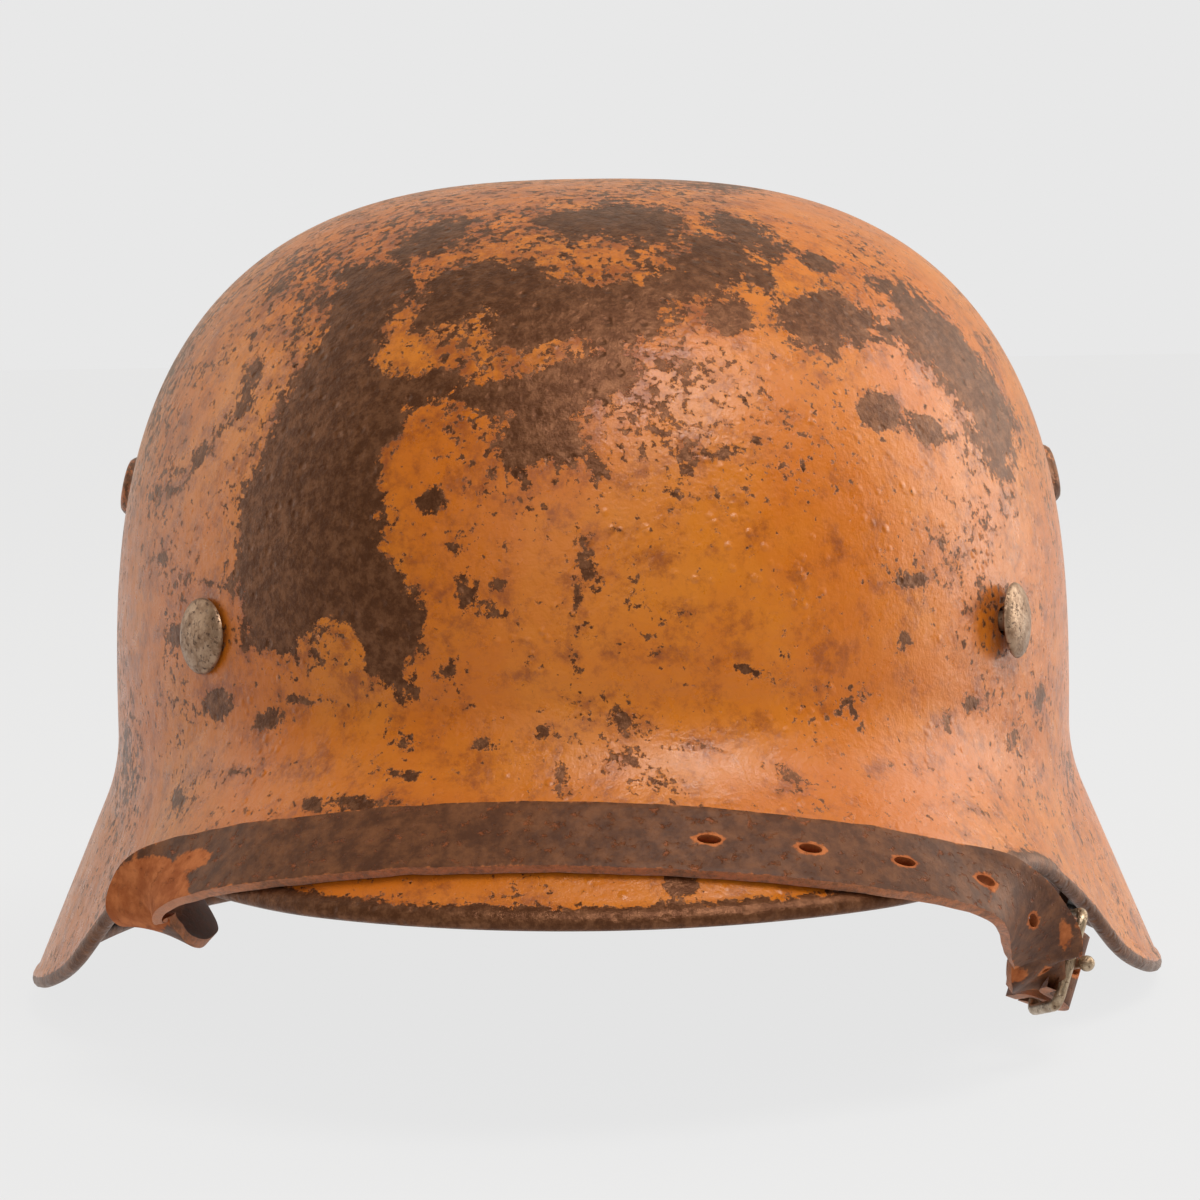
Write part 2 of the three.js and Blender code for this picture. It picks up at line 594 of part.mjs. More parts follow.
// The oval prong holes, stepped back along the strap from the one that the buckle's prong is through.
function prongHoles(stations, prongAxis) {
  const lengths = [0];
  stations.slice(1).forEach((station, i) => {
    lengths.push(lengths[i] + station.origin.distanceTo(stations[i].origin));
  });
  const distances = stations.map((station) => prongAxis.distanceTo(station.origin));
  const used = lengths[distances.indexOf(Math.min(...distances))];
  return Array.from({ length: HOLE_COUNT }, (_, k) => {
    const target = used - HOLE_PITCH * (k + 1);
    const index = lengths.findIndex((length) => length >= target);
    const share = (target - lengths[index - 1]) / (lengths[index] - lengths[index - 1]);
    const [before, after] = [stations[index - 1], stations[index]];
    const origin = before.origin.clone().lerp(after.origin, share);
    const hole = drill(HOLE_WIDTH / 2, STRAP_THICKNESS * 1.6).scale(HOLE_LENGTH / HOLE_WIDTH, 1, 1);
    return solidOf(setOn(hole, { origin, along: after.forward, out: after.outward }));
  });
}

function longStrap(buckle) {
  const leftRing = ringFrame(-1, LEFT_RING_FALL);
  const bar = { ...leftRing, origin: onFrame(leftRing, RING_LENGTH, 0) };
  const stations = smoothStations([
    ...barLoop(bar, RING_WIRE_RADIUS),
    ...shellStations(LONG_STRAP_STATIONS),
    ...bucklePass(buckle),
  ]);
  let strap = ribbon(stations);
  const prongHeight = BUCKLE_WIRE_RADIUS + GAP + PRONG_WIRE_RADIUS;
  const through = onFrame(buckle, BUCKLE_LENGTH / 2, prongHeight);
  for (const hole of prongHoles(stations, through)) {
    strap = strap.subtract(hole);
  }
  const bore = drill(PRONG_WIRE_RADIUS + GAP, BUCKLE_LENGTH * 0.7);
  strap = strap.subtract(solidOf(setOn(bore, { origin: through, along: buckle.across, out: buckle.forward })));
  return meshOf('chin_strap_long', strap, leather);
}

function shortStrap(buckle) {
  const rightRing = ringFrame(1, RIGHT_RING_FALL);
  const rear = { ...buckle, origin: onFrame(buckle, BUCKLE_LENGTH, 0) };
  const ringBar = { ...rightRing, origin: onFrame(rightRing, RING_LENGTH, 0) };
  const stations = smoothStations([
    ...barLoop(rear, BUCKLE_WIRE_RADIUS),
    ...shellStations(SHORT_STRAP_STATIONS),
    ...barLoop(ringBar, RING_WIRE_RADIUS).reverse(),
  ]);
  const slot = new THREE.BoxGeometry(BUCKLE_LENGTH * 0.6, STRAP_THICKNESS * 5, (PRONG_WIRE_RADIUS + GAP) * 2);
  const cut = setOn(slot, { origin: rear.origin, along: rear.forward, out: rear.outward });
  return meshOf('chin_strap_short', ribbon(stations).subtract(solidOf(cut)), leather);
}

function buckleWire(buckle) {
  const halfWidth = STRAP_WIDTH / 2 + BUCKLE_SIDE_ROOM + BUCKLE_WIRE_RADIUS;
  const loop = roundedLoop(buckle, BUCKLE_LENGTH, halfWidth);
  return meshOf('buckle_frame', solidOf(wireLoop(loop, BUCKLE_WIRE_RADIUS, buckle.outward)), nickel);
}

// The prong: an eye round the rear bar, a straight wire over the front bar and a round knob at its tip.
function buckleProng(buckle) {
  const radius = BUCKLE_WIRE_RADIUS + GAP + PRONG_WIRE_RADIUS;
  const rear = onFrame(buckle, BUCKLE_LENGTH, 0);
  const eye = Array.from({ length: BORE_SIDES }, (_, i) => {
    const turn = (2 * Math.PI * i) / BORE_SIDES;
    const point = rear.clone().addScaledVector(buckle.forward, radius * Math.cos(turn));
    return point.addScaledVector(buckle.outward, radius * Math.sin(turn));
  });
  const tipReach = PRONG_KNOB_RADIUS * 0.6;
  const length = BUCKLE_LENGTH + tipReach;
  const wire = drill(PRONG_WIRE_RADIUS, length, WIRE_SIDES);
  const middle = onFrame(buckle, (BUCKLE_LENGTH - tipReach) / 2, radius);
  const knob = new THREE.SphereGeometry(PRONG_KNOB_RADIUS, KNOB_SIDES, KNOB_SIDES / 2);
  const lift = PRONG_KNOB_RADIUS - PRONG_WIRE_RADIUS;
  const knobPlace = onFrame(buckle, -tipReach, radius + lift);
  knob.translate(knobPlace.x, knobPlace.y, knobPlace.z);
  const solid = solidOf(wireLoop(eye, PRONG_WIRE_RADIUS, buckle.across))
    .add(solidOf(setOn(wire, { origin: middle, along: buckle.across, out: buckle.forward })))
    .add(solidOf(knob));
  return meshOf('buckle_prong', solid, nickel);
}

const buckle = buckleFrame();
const group = new THREE.Group();
group.add(pressedShell());
group.add(linerBand());
for (const place of rivetPlaces()) {
  group.add(splitRivet(place));
}
group.add(strapRing('strap_ring_left', ringFrame(-1, LEFT_RING_FALL)));
group.add(strapRing('strap_ring_right', ringFrame(1, RIGHT_RING_FALL)));
group.add(longStrap(buckle));
group.add(shortStrap(buckle));
group.add(buckleWire(buckle));
group.add(buckleProng(buckle));

export default group;
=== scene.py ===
"""Looks of a worn steel combat helmet: its painted shell, rivets, vents, band and leather chin strap.

The classes hold millimetres and finished meshes are metres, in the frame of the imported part.
The visor faces -Y, +Z is up, and left (-X) and right (+X) are as seen from the front.
"""
import logging
import math
from dataclasses import dataclass, replace
from enum import Enum

import bpy
import numpy as np
from mathutils import Matrix, Vector, noise


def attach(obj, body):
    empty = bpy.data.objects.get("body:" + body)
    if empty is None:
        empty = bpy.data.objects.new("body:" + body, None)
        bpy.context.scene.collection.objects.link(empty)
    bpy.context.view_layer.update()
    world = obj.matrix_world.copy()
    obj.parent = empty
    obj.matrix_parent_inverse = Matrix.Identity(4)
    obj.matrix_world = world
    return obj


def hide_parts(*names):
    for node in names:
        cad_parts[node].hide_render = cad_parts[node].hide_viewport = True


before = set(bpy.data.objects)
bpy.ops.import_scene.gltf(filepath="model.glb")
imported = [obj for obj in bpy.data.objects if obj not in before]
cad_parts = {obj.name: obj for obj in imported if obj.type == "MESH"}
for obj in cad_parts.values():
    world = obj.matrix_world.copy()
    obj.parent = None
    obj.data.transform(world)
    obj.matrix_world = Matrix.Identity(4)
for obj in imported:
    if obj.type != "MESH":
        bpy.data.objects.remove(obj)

LOG = logging.getLogger("helmet")
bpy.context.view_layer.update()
MM = 0.001
ROOT = "root"
BORE_SIDES = 40
BORE_DEPTH = 18.0
Colour = tuple[float, float, float]
Pair = tuple[float, float]
Array = np.ndarray
Socket = bpy.types.NodeSocket


class Slot(Enum):
    """Names of material slots."""

    PAINT = "shell_paint"
    DARK = "dark_steel"
    BRIGHT = "bright_steel"
    LEATHER = "strap_leather"


# The shell's own surface


@dataclass(frozen=True)
class Section:
    """The shell's section at one plan angle, in shares of the named sizes."""

    plan: float
    rim: float
    knee: float
    slope: float
    blend: float
    exponent: float


SECTIONS = (
    Section(0, 1, 1, 1.15, 1, 2.6),
    Section(22, 1.013, 0.988, 1.11, 1, 2.64),
    Section(38, 1.015, 0.95, 0.84, 1, 2.68),
    Section(48, 0.95, 0.88, 0.62, 1, 2.71),
    Section(58, 0.7, 0.773, 0.5, 1, 2.74),
    Section(68, 0.35, 0.72, 0.42, 0.9, 2.76),
    Section(80, 0.14, 0.743, 0.42, 0.9, 2.78),
    Section(100, 0, 0.789, 0.45, 0.9, 2.76),
    Section(130, 0, 0.819, 0.53, 1, 2.6),
    Section(155, 0, 0.842, 0.53, 1.1, 2.45),
    Section(180, 0, 0.858, 0.527, 1.1, 2.4),
)


@dataclass
class Frame:
    """A place with three directions, all in millimetres of the row frame."""

    origin: Array
    forward: Array
    across: Array
    outward: Array

    def at(self, forward: float, outward: float, across: float = 0.0) -> Array:
        """A point by its distances along the frame's directions."""
        return self.origin + self.forward * forward + self.outward * outward + self.across * across

    def moved(self, forward: float = 0.0, outward: float = 0.0, across: float = 0.0) -> "Frame":
        """The same directions at another place."""
        return replace(self, origin=self.at(forward, outward, across))

    def matrix(self) -> Matrix:
        """Turns a mesh made round its Z axis on to the frame, with Z pointing outward.

        Returns:
            The matrix, in millimetres.
        """
        sideways = np.cross(self.outward, self.forward)
        columns = (self.forward, sideways, self.outward, self.origin)
        rows = [[float(column[k]) for column in columns] for k in range(3)]
        return Matrix([*rows, [0, 0, 0, 1]])


def unit(vector: Array) -> Array:
    """The same direction with length one."""
    return vector / np.linalg.norm(vector, axis=-1, keepdims=True)


@dataclass
class ShellForm:
    """The pressed sheet as a surface over plan angle and height."""

    length: float = 228.0
    width: float = 195.6
    height: float = 167.2
    widest: float = 59.0
    edge: float = 38.7
    knee: float = 65.3
    blend: float = 9.0
    wall: float = 1.2
    roll_height: float = 4.6
    roll_thickness: float = 3.2
    roll_proud: float = 0.5
    worn: float = 0.4

    def value(self, column: str, plan: Array) -> Array:
        """One column of the sections at any plan angle.

        Args:
            column: name of the section's value.
            plan: plan angles in degrees.

        Returns:
            The values, smooth through the table's rows.
        """
        angles = np.array([row.plan for row in SECTIONS], float)
        values = np.array([getattr(row, column) for row in SECTIONS], float)
        slopes = np.zeros(len(angles))
        slopes[1:-1] = (values[2:] - values[:-2]) / (angles[2:] - angles[:-2])
        turn = np.abs((np.asarray(plan, float) + 180) % 360 - 180)
        i = np.clip(np.searchsorted(angles, turn, side="right") - 1, 0, len(angles) - 2)
        span = angles[i + 1] - angles[i]
        t = (turn - angles[i]) / span
        t2, t3 = t * t, t * t * t
        ends = values[i] * (2 * t3 - 3 * t2 + 1) + values[i + 1] * (3 * t2 - 2 * t3)
        return ends + span * (slopes[i] * (t3 - 2 * t2 + t) + slopes[i + 1] * (t3 - t2))

    def point(self, plan: Array, height: Array, stand: float = 0.0, flared: bool = True) -> Array:
        """Points of the shell.

        Args:
            plan: plan angles in degrees.
            height: heights.
            stand: how far outside the sheet's outer side, negative inside it.
            flared: False for the dome alone.

        Returns:
            The points, one row each.
        """
        plan, height = np.broadcast_arrays(np.asarray(plan, float), np.asarray(height, float))
        turn = np.radians(plan)
        half_length, half_width = self.length / 2 + stand, self.width / 2 + stand
        exponent = self.value("exponent", plan)
        share = np.clip((height - self.widest) / (self.height + stand - self.widest), 0, 1)
        fullness = (1 - share ** exponent) ** (1 / exponent)
        x = half_width * np.sin(turn) * fullness
        y = -half_length * np.cos(turn) * fullness
        if flared:
            normal = np.stack([np.sin(turn) / half_width, -np.cos(turn) / half_length], -1)
            normal = unit(normal)
            blend = self.value("blend", plan) * self.blend
            slope = self.value("slope", plan)
            fall = self.value("knee", plan) * self.knee - height
            bend = np.clip((fall + blend) / (2 * blend), 0, 1)
            bent = slope * np.maximum(fall + blend, 0) ** 2 / (4 * blend)
            run = np.where(fall < blend, bent, slope * fall)
            flare = np.where(fall <= -blend, 0, run + stand * (np.hypot(1, slope * bend) - 1))
            x, y = x + normal[..., 0] * flare, y + normal[..., 1] * flare
        return np.stack([x, y, height + 0.0 * x], -1)

    def directions(self, plan: Array, height: Array, stand: float = 0.0,
                   flared: bool = True) -> tuple[Array, Array, Array]:
        """The surface's directions along its plan, up the sheet and out of it.

        Args:
            plan: plan angles in degrees.
            height: heights.
            stand: how far outside the sheet's outer side.
            flared: False for the dome alone.

        Returns:
            The three unit directions.
        """
        step = 0.05
        along = unit(self.point(plan + step, height, stand, flared)
                     - self.point(plan - step, height, stand, flared))
        up = (self.point(plan, height + step, stand, flared)
              - self.point(plan, height - step, stand, flared))
        up = unit(up - along * np.sum(up * along, -1, keepdims=True))
        return along, up, np.cross(along, up)

    def frame(self, plan: float, height: float, stand: float = 0.0, flared: bool = True) -> Frame:
        """The surface's own frame at a place: forward along the plan, across up the sheet."""
        along, up, out = self.directions(plan, height, stand, flared)
        return Frame(self.point(plan, height, stand, flared), along, up, out)

    def rim_height(self, plan: Array) -> Array:
        """Height of the rim's lowest edge."""
        return self.value("rim", plan) * self.edge - self.worn

    def bead(self, plan: Array, steps: int) -> list[Array]:
        """Rings of the rolled rim, from the outside of the sheet round its bottom to the inside.

        Args:
            plan: plan angles in degrees.
            steps: steps round the roll.

        Returns:
            One array of points for each step.
        """
        tall, thick = self.roll_height / 2, self.roll_thickness / 2
        sunk = thick - self.roll_proud
        _, up, out = self.directions(plan, self.rim_height(plan) + tall)
        reach = np.hypot(tall * up[..., 2], thick * out[..., 2])
        centre = self.point(plan, self.rim_height(plan) + reach, -sunk)
        start = math.asin(sunk / thick)
        end = 2 * math.pi - math.asin((self.wall - sunk) / thick)
        rings = []
        for turn in np.linspace(start, end, steps + 1):
            ring = centre + up * tall * math.cos(turn) + out * thick * math.sin(turn)
            ring[..., 2] = np.maximum(0, ring[..., 2])
            rings.append(ring)
        return rings


SHELL = ShellForm()


# The photograph's view


@dataclass(frozen=True)
class PhotoView:
    """The pinhole that sees the helmet as the photograph does, with pixels of a 1200 pixel frame."""

    place: tuple[float, float, float] = (0.13, -689.63, 144.82)
    pitch: float = -5.327
    yaw: float = -0.124
    roll: float = -0.80
    focal: float = 3331.4
    frame_size: float = 1200.0
    sensor: float = 36.0
    nearest: float = 0.01

    def matrix(self) -> Matrix:
        """The camera's place and turn in metres.

        Returns:
            The matrix of the camera object.
        """
        turn = Matrix.Rotation(math.radians(self.yaw), 4, "Z")
        tilt = Matrix.Rotation(math.radians(90 + self.pitch), 4, "X")
        lean = Matrix.Rotation(math.radians(self.roll), 4, "Z")
        return Matrix.Translation(Vector(self.place) * MM) @ turn @ tilt @ lean

    def pixels(self, points: Array) -> tuple[Array, Array]:
        """Where points of the row frame fall in the photograph.

        Args:
            points: places in millimetres, one row each.

        Returns:
            Their pixel columns and rows.
        """
        inverse = np.array(self.matrix().inverted())
        seen = points * MM @ inverse[:3, :3].T + inverse[:3, 3]
        depth = -seen[..., 2]
        middle = self.frame_size / 2
        return (middle + self.focal * seen[..., 0] / depth,
                middle - self.focal * seen[..., 1] / depth)

    def facing(self, points: Array, normals: Array) -> Array:
        """How squarely a surface faces the camera, from -1 to 1."""
        return np.sum(unit(np.array(self.place) - points) * normals, -1)

    def add(self) -> None:
        """Adds the camera and makes it the scene's own."""
        bpy.ops.object.camera_add()
        camera = bpy.context.object
        camera.name = "photo_camera"
        camera.matrix_world = self.matrix()
        camera.data.sensor_width = self.sensor
        camera.data.lens = self.focal * self.sensor / self.frame_size
        camera.data.clip_start = self.nearest
        bpy.context.scene.camera = camera


VIEW = PhotoView()


# Mesh work


def deselect() -> None:
    """Leaves nothing selected, so that an operator acts on the new piece alone."""
    if bpy.context.object and bpy.context.object.mode != "OBJECT":
        bpy.ops.object.mode_set(mode="OBJECT")
    bpy.ops.object.select_all(action="DESELECT")


def choose(piece: bpy.types.Object) -> None:
    """Selects one piece and makes it active.

    Args:
        piece: the piece.
    """
    deselect()
    piece.select_set(True)
    bpy.context.view_layer.objects.active = piece


def vertices(piece: bpy.types.Object) -> Array:
    """A mesh's vertices as rows.

    Args:
        piece: the piece.

    Returns:
        Its vertices in its own units, one row each.
    """
    flat = np.empty(len(piece.data.vertices) * 3)
    piece.data.vertices.foreach_get("co", flat)
    return flat.reshape(-1, 3)


def set_vertices(piece: bpy.types.Object, points: Array) -> None:
    """Moves a mesh's vertices to new rows of points."""
    piece.data.vertices.foreach_set("co", np.asarray(points, float).ravel())
    piece.data.update()


def apply_modifier(piece: bpy.types.Object, kind: str, **settings: object) -> None:
    """Adds a modifier and applies it at once.

    Args:
        piece: the piece that it shapes.
        kind: Blender's name of the modifier.
        settings: its values.
    """
    choose(piece)
    modifier = piece.modifiers.new(kind.lower(), kind)
    for name, value in settings.items():
        setattr(modifier, name, value)
    bpy.ops.object.modifier_apply(modifier=modifier.name)


def smooth(piece: bpy.types.Object, degrees: float) -> None:
    """Shades a piece smooth except over edges sharper than an angle."""
    choose(piece)
    bpy.ops.object.shade_smooth_by_angle(angle=math.radians(degrees))


def face_out(piece: bpy.types.Object) -> None:
    """Turns a closed mesh's faces outwards.

    Args:
        piece: the piece.
    """
    choose(piece)
    bpy.ops.object.mode_set(mode="EDIT")
    bpy.ops.mesh.select_all(action="SELECT")
    bpy.ops.mesh.normals_make_consistent(inside=False)
    bpy.ops.object.mode_set(mode="OBJECT")


def set_attribute(piece: bpy.types.Object, name: str, values: Array) -> None:
    """Stores one number for each vertex under a name that a finish reads."""
    layer = piece.data.attributes.new(name, "FLOAT", "POINT")
    layer.data.foreach_set("value", np.asarray(values, float))


def seat(piece: bpy.types.Object, nodes: tuple[str, ...] = ()) -> bpy.types.Object:
    """Declares a finished piece to the frame.

    Args:
        piece: the piece, with its place in its mesh.
        nodes: nodes of the part that it stands for.

    Returns:
        The same piece.
    """
    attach(piece, ROOT)
    if nodes:
        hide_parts(*nodes)
    LOG.info("%s: %d faces", piece.name, len(piece.data.polygons))
    return piece


def sphere_rings(name: str, rings: list[Array],
                 poles: tuple[Array, Array]) -> tuple[bpy.types.Object, Array, Array]:
    """A closed skin from a sphere whose rings are moved to given rings of points.

    Args:
        name: name of the piece.
        rings: rings of points in millimetres, counted from the first pole, all turning the same way.
        poles: the two end points.

    Returns:
        The piece, and each vertex's ring and its column in that ring.
    """
    count, total = len(rings[0]), len(rings) + 1
    deselect()
    bpy.ops.mesh.primitive_uv_sphere_add(segments=count, ring_count=total, radius=1, calc_uvs=False)
    piece = bpy.context.object
    piece.name = name
    old = vertices(piece)
    ring = np.rint(np.arccos(np.clip(old[:, 2], -1, 1)) * total / math.pi).astype(int)
    column = np.rint(np.arctan2(old[:, 1], old[:, 0]) * count / (2 * math.pi)).astype(int) % count
    table = np.array([[poles[0]] * count, *rings, [poles[1]] * count], float)
    set_vertices(piece, table[ring, column] * MM)
    return piece, ring, column


def torus_rings(name: str, rings: list[Array]) -> bpy.types.Object:
    """A closed loop from a torus whose sections are moved to given sections.

    Args:
        name: name of the piece.
        rings: sections of points in millimetres, in order round the loop.

    Returns:
        The piece, facing out.
    """
    count, total = len(rings[0]), len(rings)
    deselect()
    bpy.ops.mesh.primitive_torus_add(major_segments=total, minor_segments=count,
                                     major_radius=1, minor_radius=0.25, generate_uvs=False)
    piece = bpy.context.object
    piece.name = name
    old = vertices(piece)
    around = np.rint(np.arctan2(old[:, 1], old[:, 0]) * total / (2 * math.pi)).astype(int) % total
    inward = np.arctan2(old[:, 2], np.hypot(old[:, 0], old[:, 1]) - 1)
    section = np.rint(inward * count / (2 * math.pi)).astype(int) % count
    set_vertices(piece, np.array(rings)[around, section] * MM)
    face_out(piece)
    return piece


def wire_rings(points: Array, radius: float, closed: bool, side: Array, sides: int = 12) -> list[Array]:
    """Round sections along a path.

    Args:
        points: the path's points.
        radius: the wire's radius.
        closed: True where the path joins its own start.
        side: a direction that the sections turn from.
        sides: points round a section.

    Returns:
        One section for each point.
    """
    if closed:
        tangents = unit(np.roll(points, -1, 0) - np.roll(points, 1, 0))
    else:
        tangents = unit(np.gradient(points, axis=0))
    first = unit(np.cross(tangents, side))
    second = np.cross(first, tangents)
    turns = np.arange(sides) * 2 * math.pi / sides
    return [point + radius * (np.outer(np.cos(turns), a) + np.outer(np.sin(turns), b))
            for point, a, b in zip(points, first, second)]


def rounded_loop(place: Frame, length: float, half_width: float, corner: float, steps: int = 10) -> Array:
    """Points round a rectangle with round corners, for a wire frame.

    Args:
        place: frame at the first bar's middle.
        length: distance between the two bars.
        half_width: half the distance between the sides.
        corner: radius of the corners.
        steps: steps in each corner.

    Returns:
        The loop's points.
    """
    centres = ((length - corner, half_width - corner, 0), (corner, half_width - corner, 90),
               (corner, corner - half_width, 180), (length - corner, corner - half_width, 270))
    points = []
    for x, y, start in centres:
        for turn in np.radians(start + np.linspace(0, 90, steps + 1)):
            points.append(place.at(x + corner * math.cos(turn), 0, y + corner * math.sin(turn)))
    return np.array(points)


def join(name: str, parts: list[bpy.types.Object]) -> bpy.types.Object:
    """Joins meshes into one piece.

    Args:
        name: name of the piece.
        parts: the meshes, of which the first one takes in the others.

    Returns:
        The piece.
    """
    deselect()
    for part in parts:
        part.select_set(True)
    bpy.context.view_layer.objects.active = parts[0]
    bpy.ops.object.join()
    parts[0].name = name
    return parts[0]


def place_mesh(piece: bpy.types.Object, matrix: Matrix) -> None:
    """Moves a mesh's vertices, leaving its object at the origin.

    Args:
        piece: the piece.
        matrix: the move, in millimetres.
    """
    points = vertices(piece) / MM
    turned = points @ np.array(matrix)[:3, :3].T + np.array(matrix)[:3, 3]
    set_vertices(piece, turned * MM)


def cut(piece: bpy.types.Object, cutters: list[bpy.types.Object]) -> None:
    """Cuts shapes out of a piece, and removes them.

    Args:
        piece: the piece.
        cutters: closed meshes that don't touch each other.
    """
    cutter = join(piece.name + "_cutter", cutters)
    apply_modifier(piece, "BOOLEAN", object=cutter, operation="DIFFERENCE", solver="EXACT")
    bpy.data.objects.remove(cutter, do_unlink=True)


def bore(place: Frame, radius: float, depth: float, stretch: float = 1.0) -> bpy.types.Object:
    """A round or oval cutter through a place along its outward direction.

    Args:
        place: the hole's frame, at its middle.
        radius: half its size across the frame's forward direction.
        depth: how long the cutter is.
        stretch: how much longer it is forward than across.

    Returns:
        The cutter.
    """
    deselect()
    bpy.ops.mesh.primitive_cylinder_add(vertices=BORE_SIDES, radius=radius * MM, depth=depth * MM)
    cutter = bpy.context.object
    points = vertices(cutter)
    points[:, 0] *= stretch
    set_vertices(cutter, points)
    place_mesh(cutter, place.matrix())
    return cutter


# Finishes


@dataclass(frozen=True)
class Grain:
    """A noise: its features per metre, its octaves and how rough they are."""

    scale: float
    detail: float = 6.0
    rough: float = 0.6


class Graph:
    """One finish's node tree, with short calls for the nodes that the finishes share."""

    def __init__(self, name: str) -> None:
        """Starts an empty material.

        Args:
            name: name of the material.
        """
        self.material = bpy.data.materials.new(name)
        self.material.use_nodes = True
        self.tree = self.material.node_tree
        self.tree.nodes.clear()
        self.shader = self.tree.nodes.new("ShaderNodeBsdfPrincipled")
        output = self.tree.nodes.new("ShaderNodeOutputMaterial")
        self.tree.links.new(self.shader.outputs[0], output.inputs[0])
        self.places = self.tree.nodes.new("ShaderNodeTexCoord").outputs["Object"]

    def fill(self, socket: Socket, value: object) -> None:
        """Sets a socket.

        Args:
            socket: the socket.
            value: a number, a colour or another node's output.
        """
        if isinstance(value, Socket):
            self.tree.links.new(value, socket)
        elif isinstance(value, tuple):
            socket.default_value = (*value, 1.0)
        else:
            socket.default_value = value

    def set(self, name: str, value: object) -> None:
        """Fills one of the shader's own sockets."""
        self.fill(self.shader.inputs[name], value)

    def attribute(self, name: str) -> Socket:
        """A number stored on the piece's vertices.

        Args:
            name: the attribute's name.

        Returns:
            The number.
        """
        node = self.tree.nodes.new("ShaderNodeAttribute")
        node.attribute_name = name
        return node.outputs["Fac"]

    def stretched(self, scale: tuple[float, float, float],
                  turn: tuple[float, float, float] = (0, 0, 0)) -> Socket:
        """Object coordinates turned and stretched, for grain and scratches.

        Args:
            scale: stretch along each axis.
            turn: turn about each axis, in degrees.

        Returns:
            The coordinates.
        """
        node = self.tree.nodes.new("ShaderNodeMapping")
        self.fill(node.inputs["Vector"], self.places)
        node.inputs["Rotation"].default_value = [math.radians(angle) for angle in turn]
        node.inputs["Scale"].default_value = scale
        return node.outputs[0]

    def surface(self, scale: tuple[float, float]) -> Socket:
        """The piece's own UV map, stretched.

        Args:
            scale: stretch along the strap and across it.

        Returns:
            The coordinates.
        """
        node = self.tree.nodes.new("ShaderNodeMapping")
        self.fill(node.inputs["Vector"], self.tree.nodes.new("ShaderNodeUVMap").outputs[0])
        node.inputs["Scale"].default_value = (*scale, 1)
        return node.outputs[0]

    def noise(self, grain: Grain, where: Socket | None = None) -> Socket:
        """A cloudy noise.

        Args:
            grain: its size and roughness.
            where: coordinates to use in place of the object's.

        Returns:
            The noise, from 0 to 1.
        """
        node = self.tree.nodes.new("ShaderNodeTexNoise")
        self.fill(node.inputs["Vector"], where or self.places)
        node.inputs["Scale"].default_value = grain.scale
        node.inputs["Detail"].default_value = grain.detail
        node.inputs["Roughness"].default_value = grain.rough
        return node.outputs[0]

    def cells(self, scale: float) -> Socket:
        """Distance to scattered points.

        Args:
            scale: points per metre.

        Returns:
            The distance, in shares of the points' spacing.
        """
        node = self.tree.nodes.new("ShaderNodeTexVoronoi")
        self.fill(node.inputs["Vector"], self.places)
        node.inputs["Scale"].default_value = scale
        return node.outputs["Distance"]

    def sum(self, kind: str, first: object, second: object) -> Socket:
        """One step of arithmetic.

        Args:
            kind: Blender's name of the step.
            first: a number or an output.
            second: a number or an output.

        Returns:
            The result.
        """
        node = self.tree.nodes.new("ShaderNodeMath")
        node.operation = kind
        self.fill(node.inputs[0], first)
        self.fill(node.inputs[1], second)
        return node.outputs[0]

    def span(self, value: Socket, low: float, high: float,
             to_low: float = 0.0, to_high: float = 1.0) -> Socket:
        """A value mapped from one range to another and held inside it.

        Args:
            value: the value.
            low: where the first range starts.
            high: where it ends.
            to_low: what its start becomes.
            to_high: what its end becomes.

        Returns:
            The mapped value, eased at both ends where it runs between 0 and 1.
        """
        node = self.tree.nodes.new("ShaderNodeMapRange")
        node.interpolation_type = "SMOOTHSTEP" if (to_low, to_high) in ((0, 1), (1, 0)) else "LINEAR"
        for name, number in (("Value", value), ("From Min", low), ("From Max", high),
                             ("To Min", to_low), ("To Max", to_high)):
            self.fill(node.inputs[name], number)
        return node.outputs[0]

    def mix(self, share: object, first: object, second: object) -> Socket:
        """Two colours mixed.

        Args:
            share: how much of the second colour shows.
            first: a colour or an output.
            second: a colour or an output.

        Returns:
            The colour.
        """
        node = self.tree.nodes.new("ShaderNodeMix")
        node.data_type = "RGBA"
        self.fill(node.inputs["Factor"], share)
        self.fill(node.inputs[6], first)
        self.fill(node.inputs[7], second)
        return node.outputs[2]

    def bump(self, height: Socket, depth_mm: float,
             under: Socket | None = None) -> Socket:
        """Relief, on top of another relief.

        Args:
            height: its height, from 0 to 1.
            depth_mm: its depth in millimetres.
            under: the other relief.

        Returns:
            The bent normal.
        """
        node = self.tree.nodes.new("ShaderNodeBump")
        node.inputs["Distance"].default_value = depth_mm * MM
        self.fill(node.inputs["Height"], height)
        if under is not None:
            self.fill(node.inputs["Normal"], under)
        return node.outputs[0]


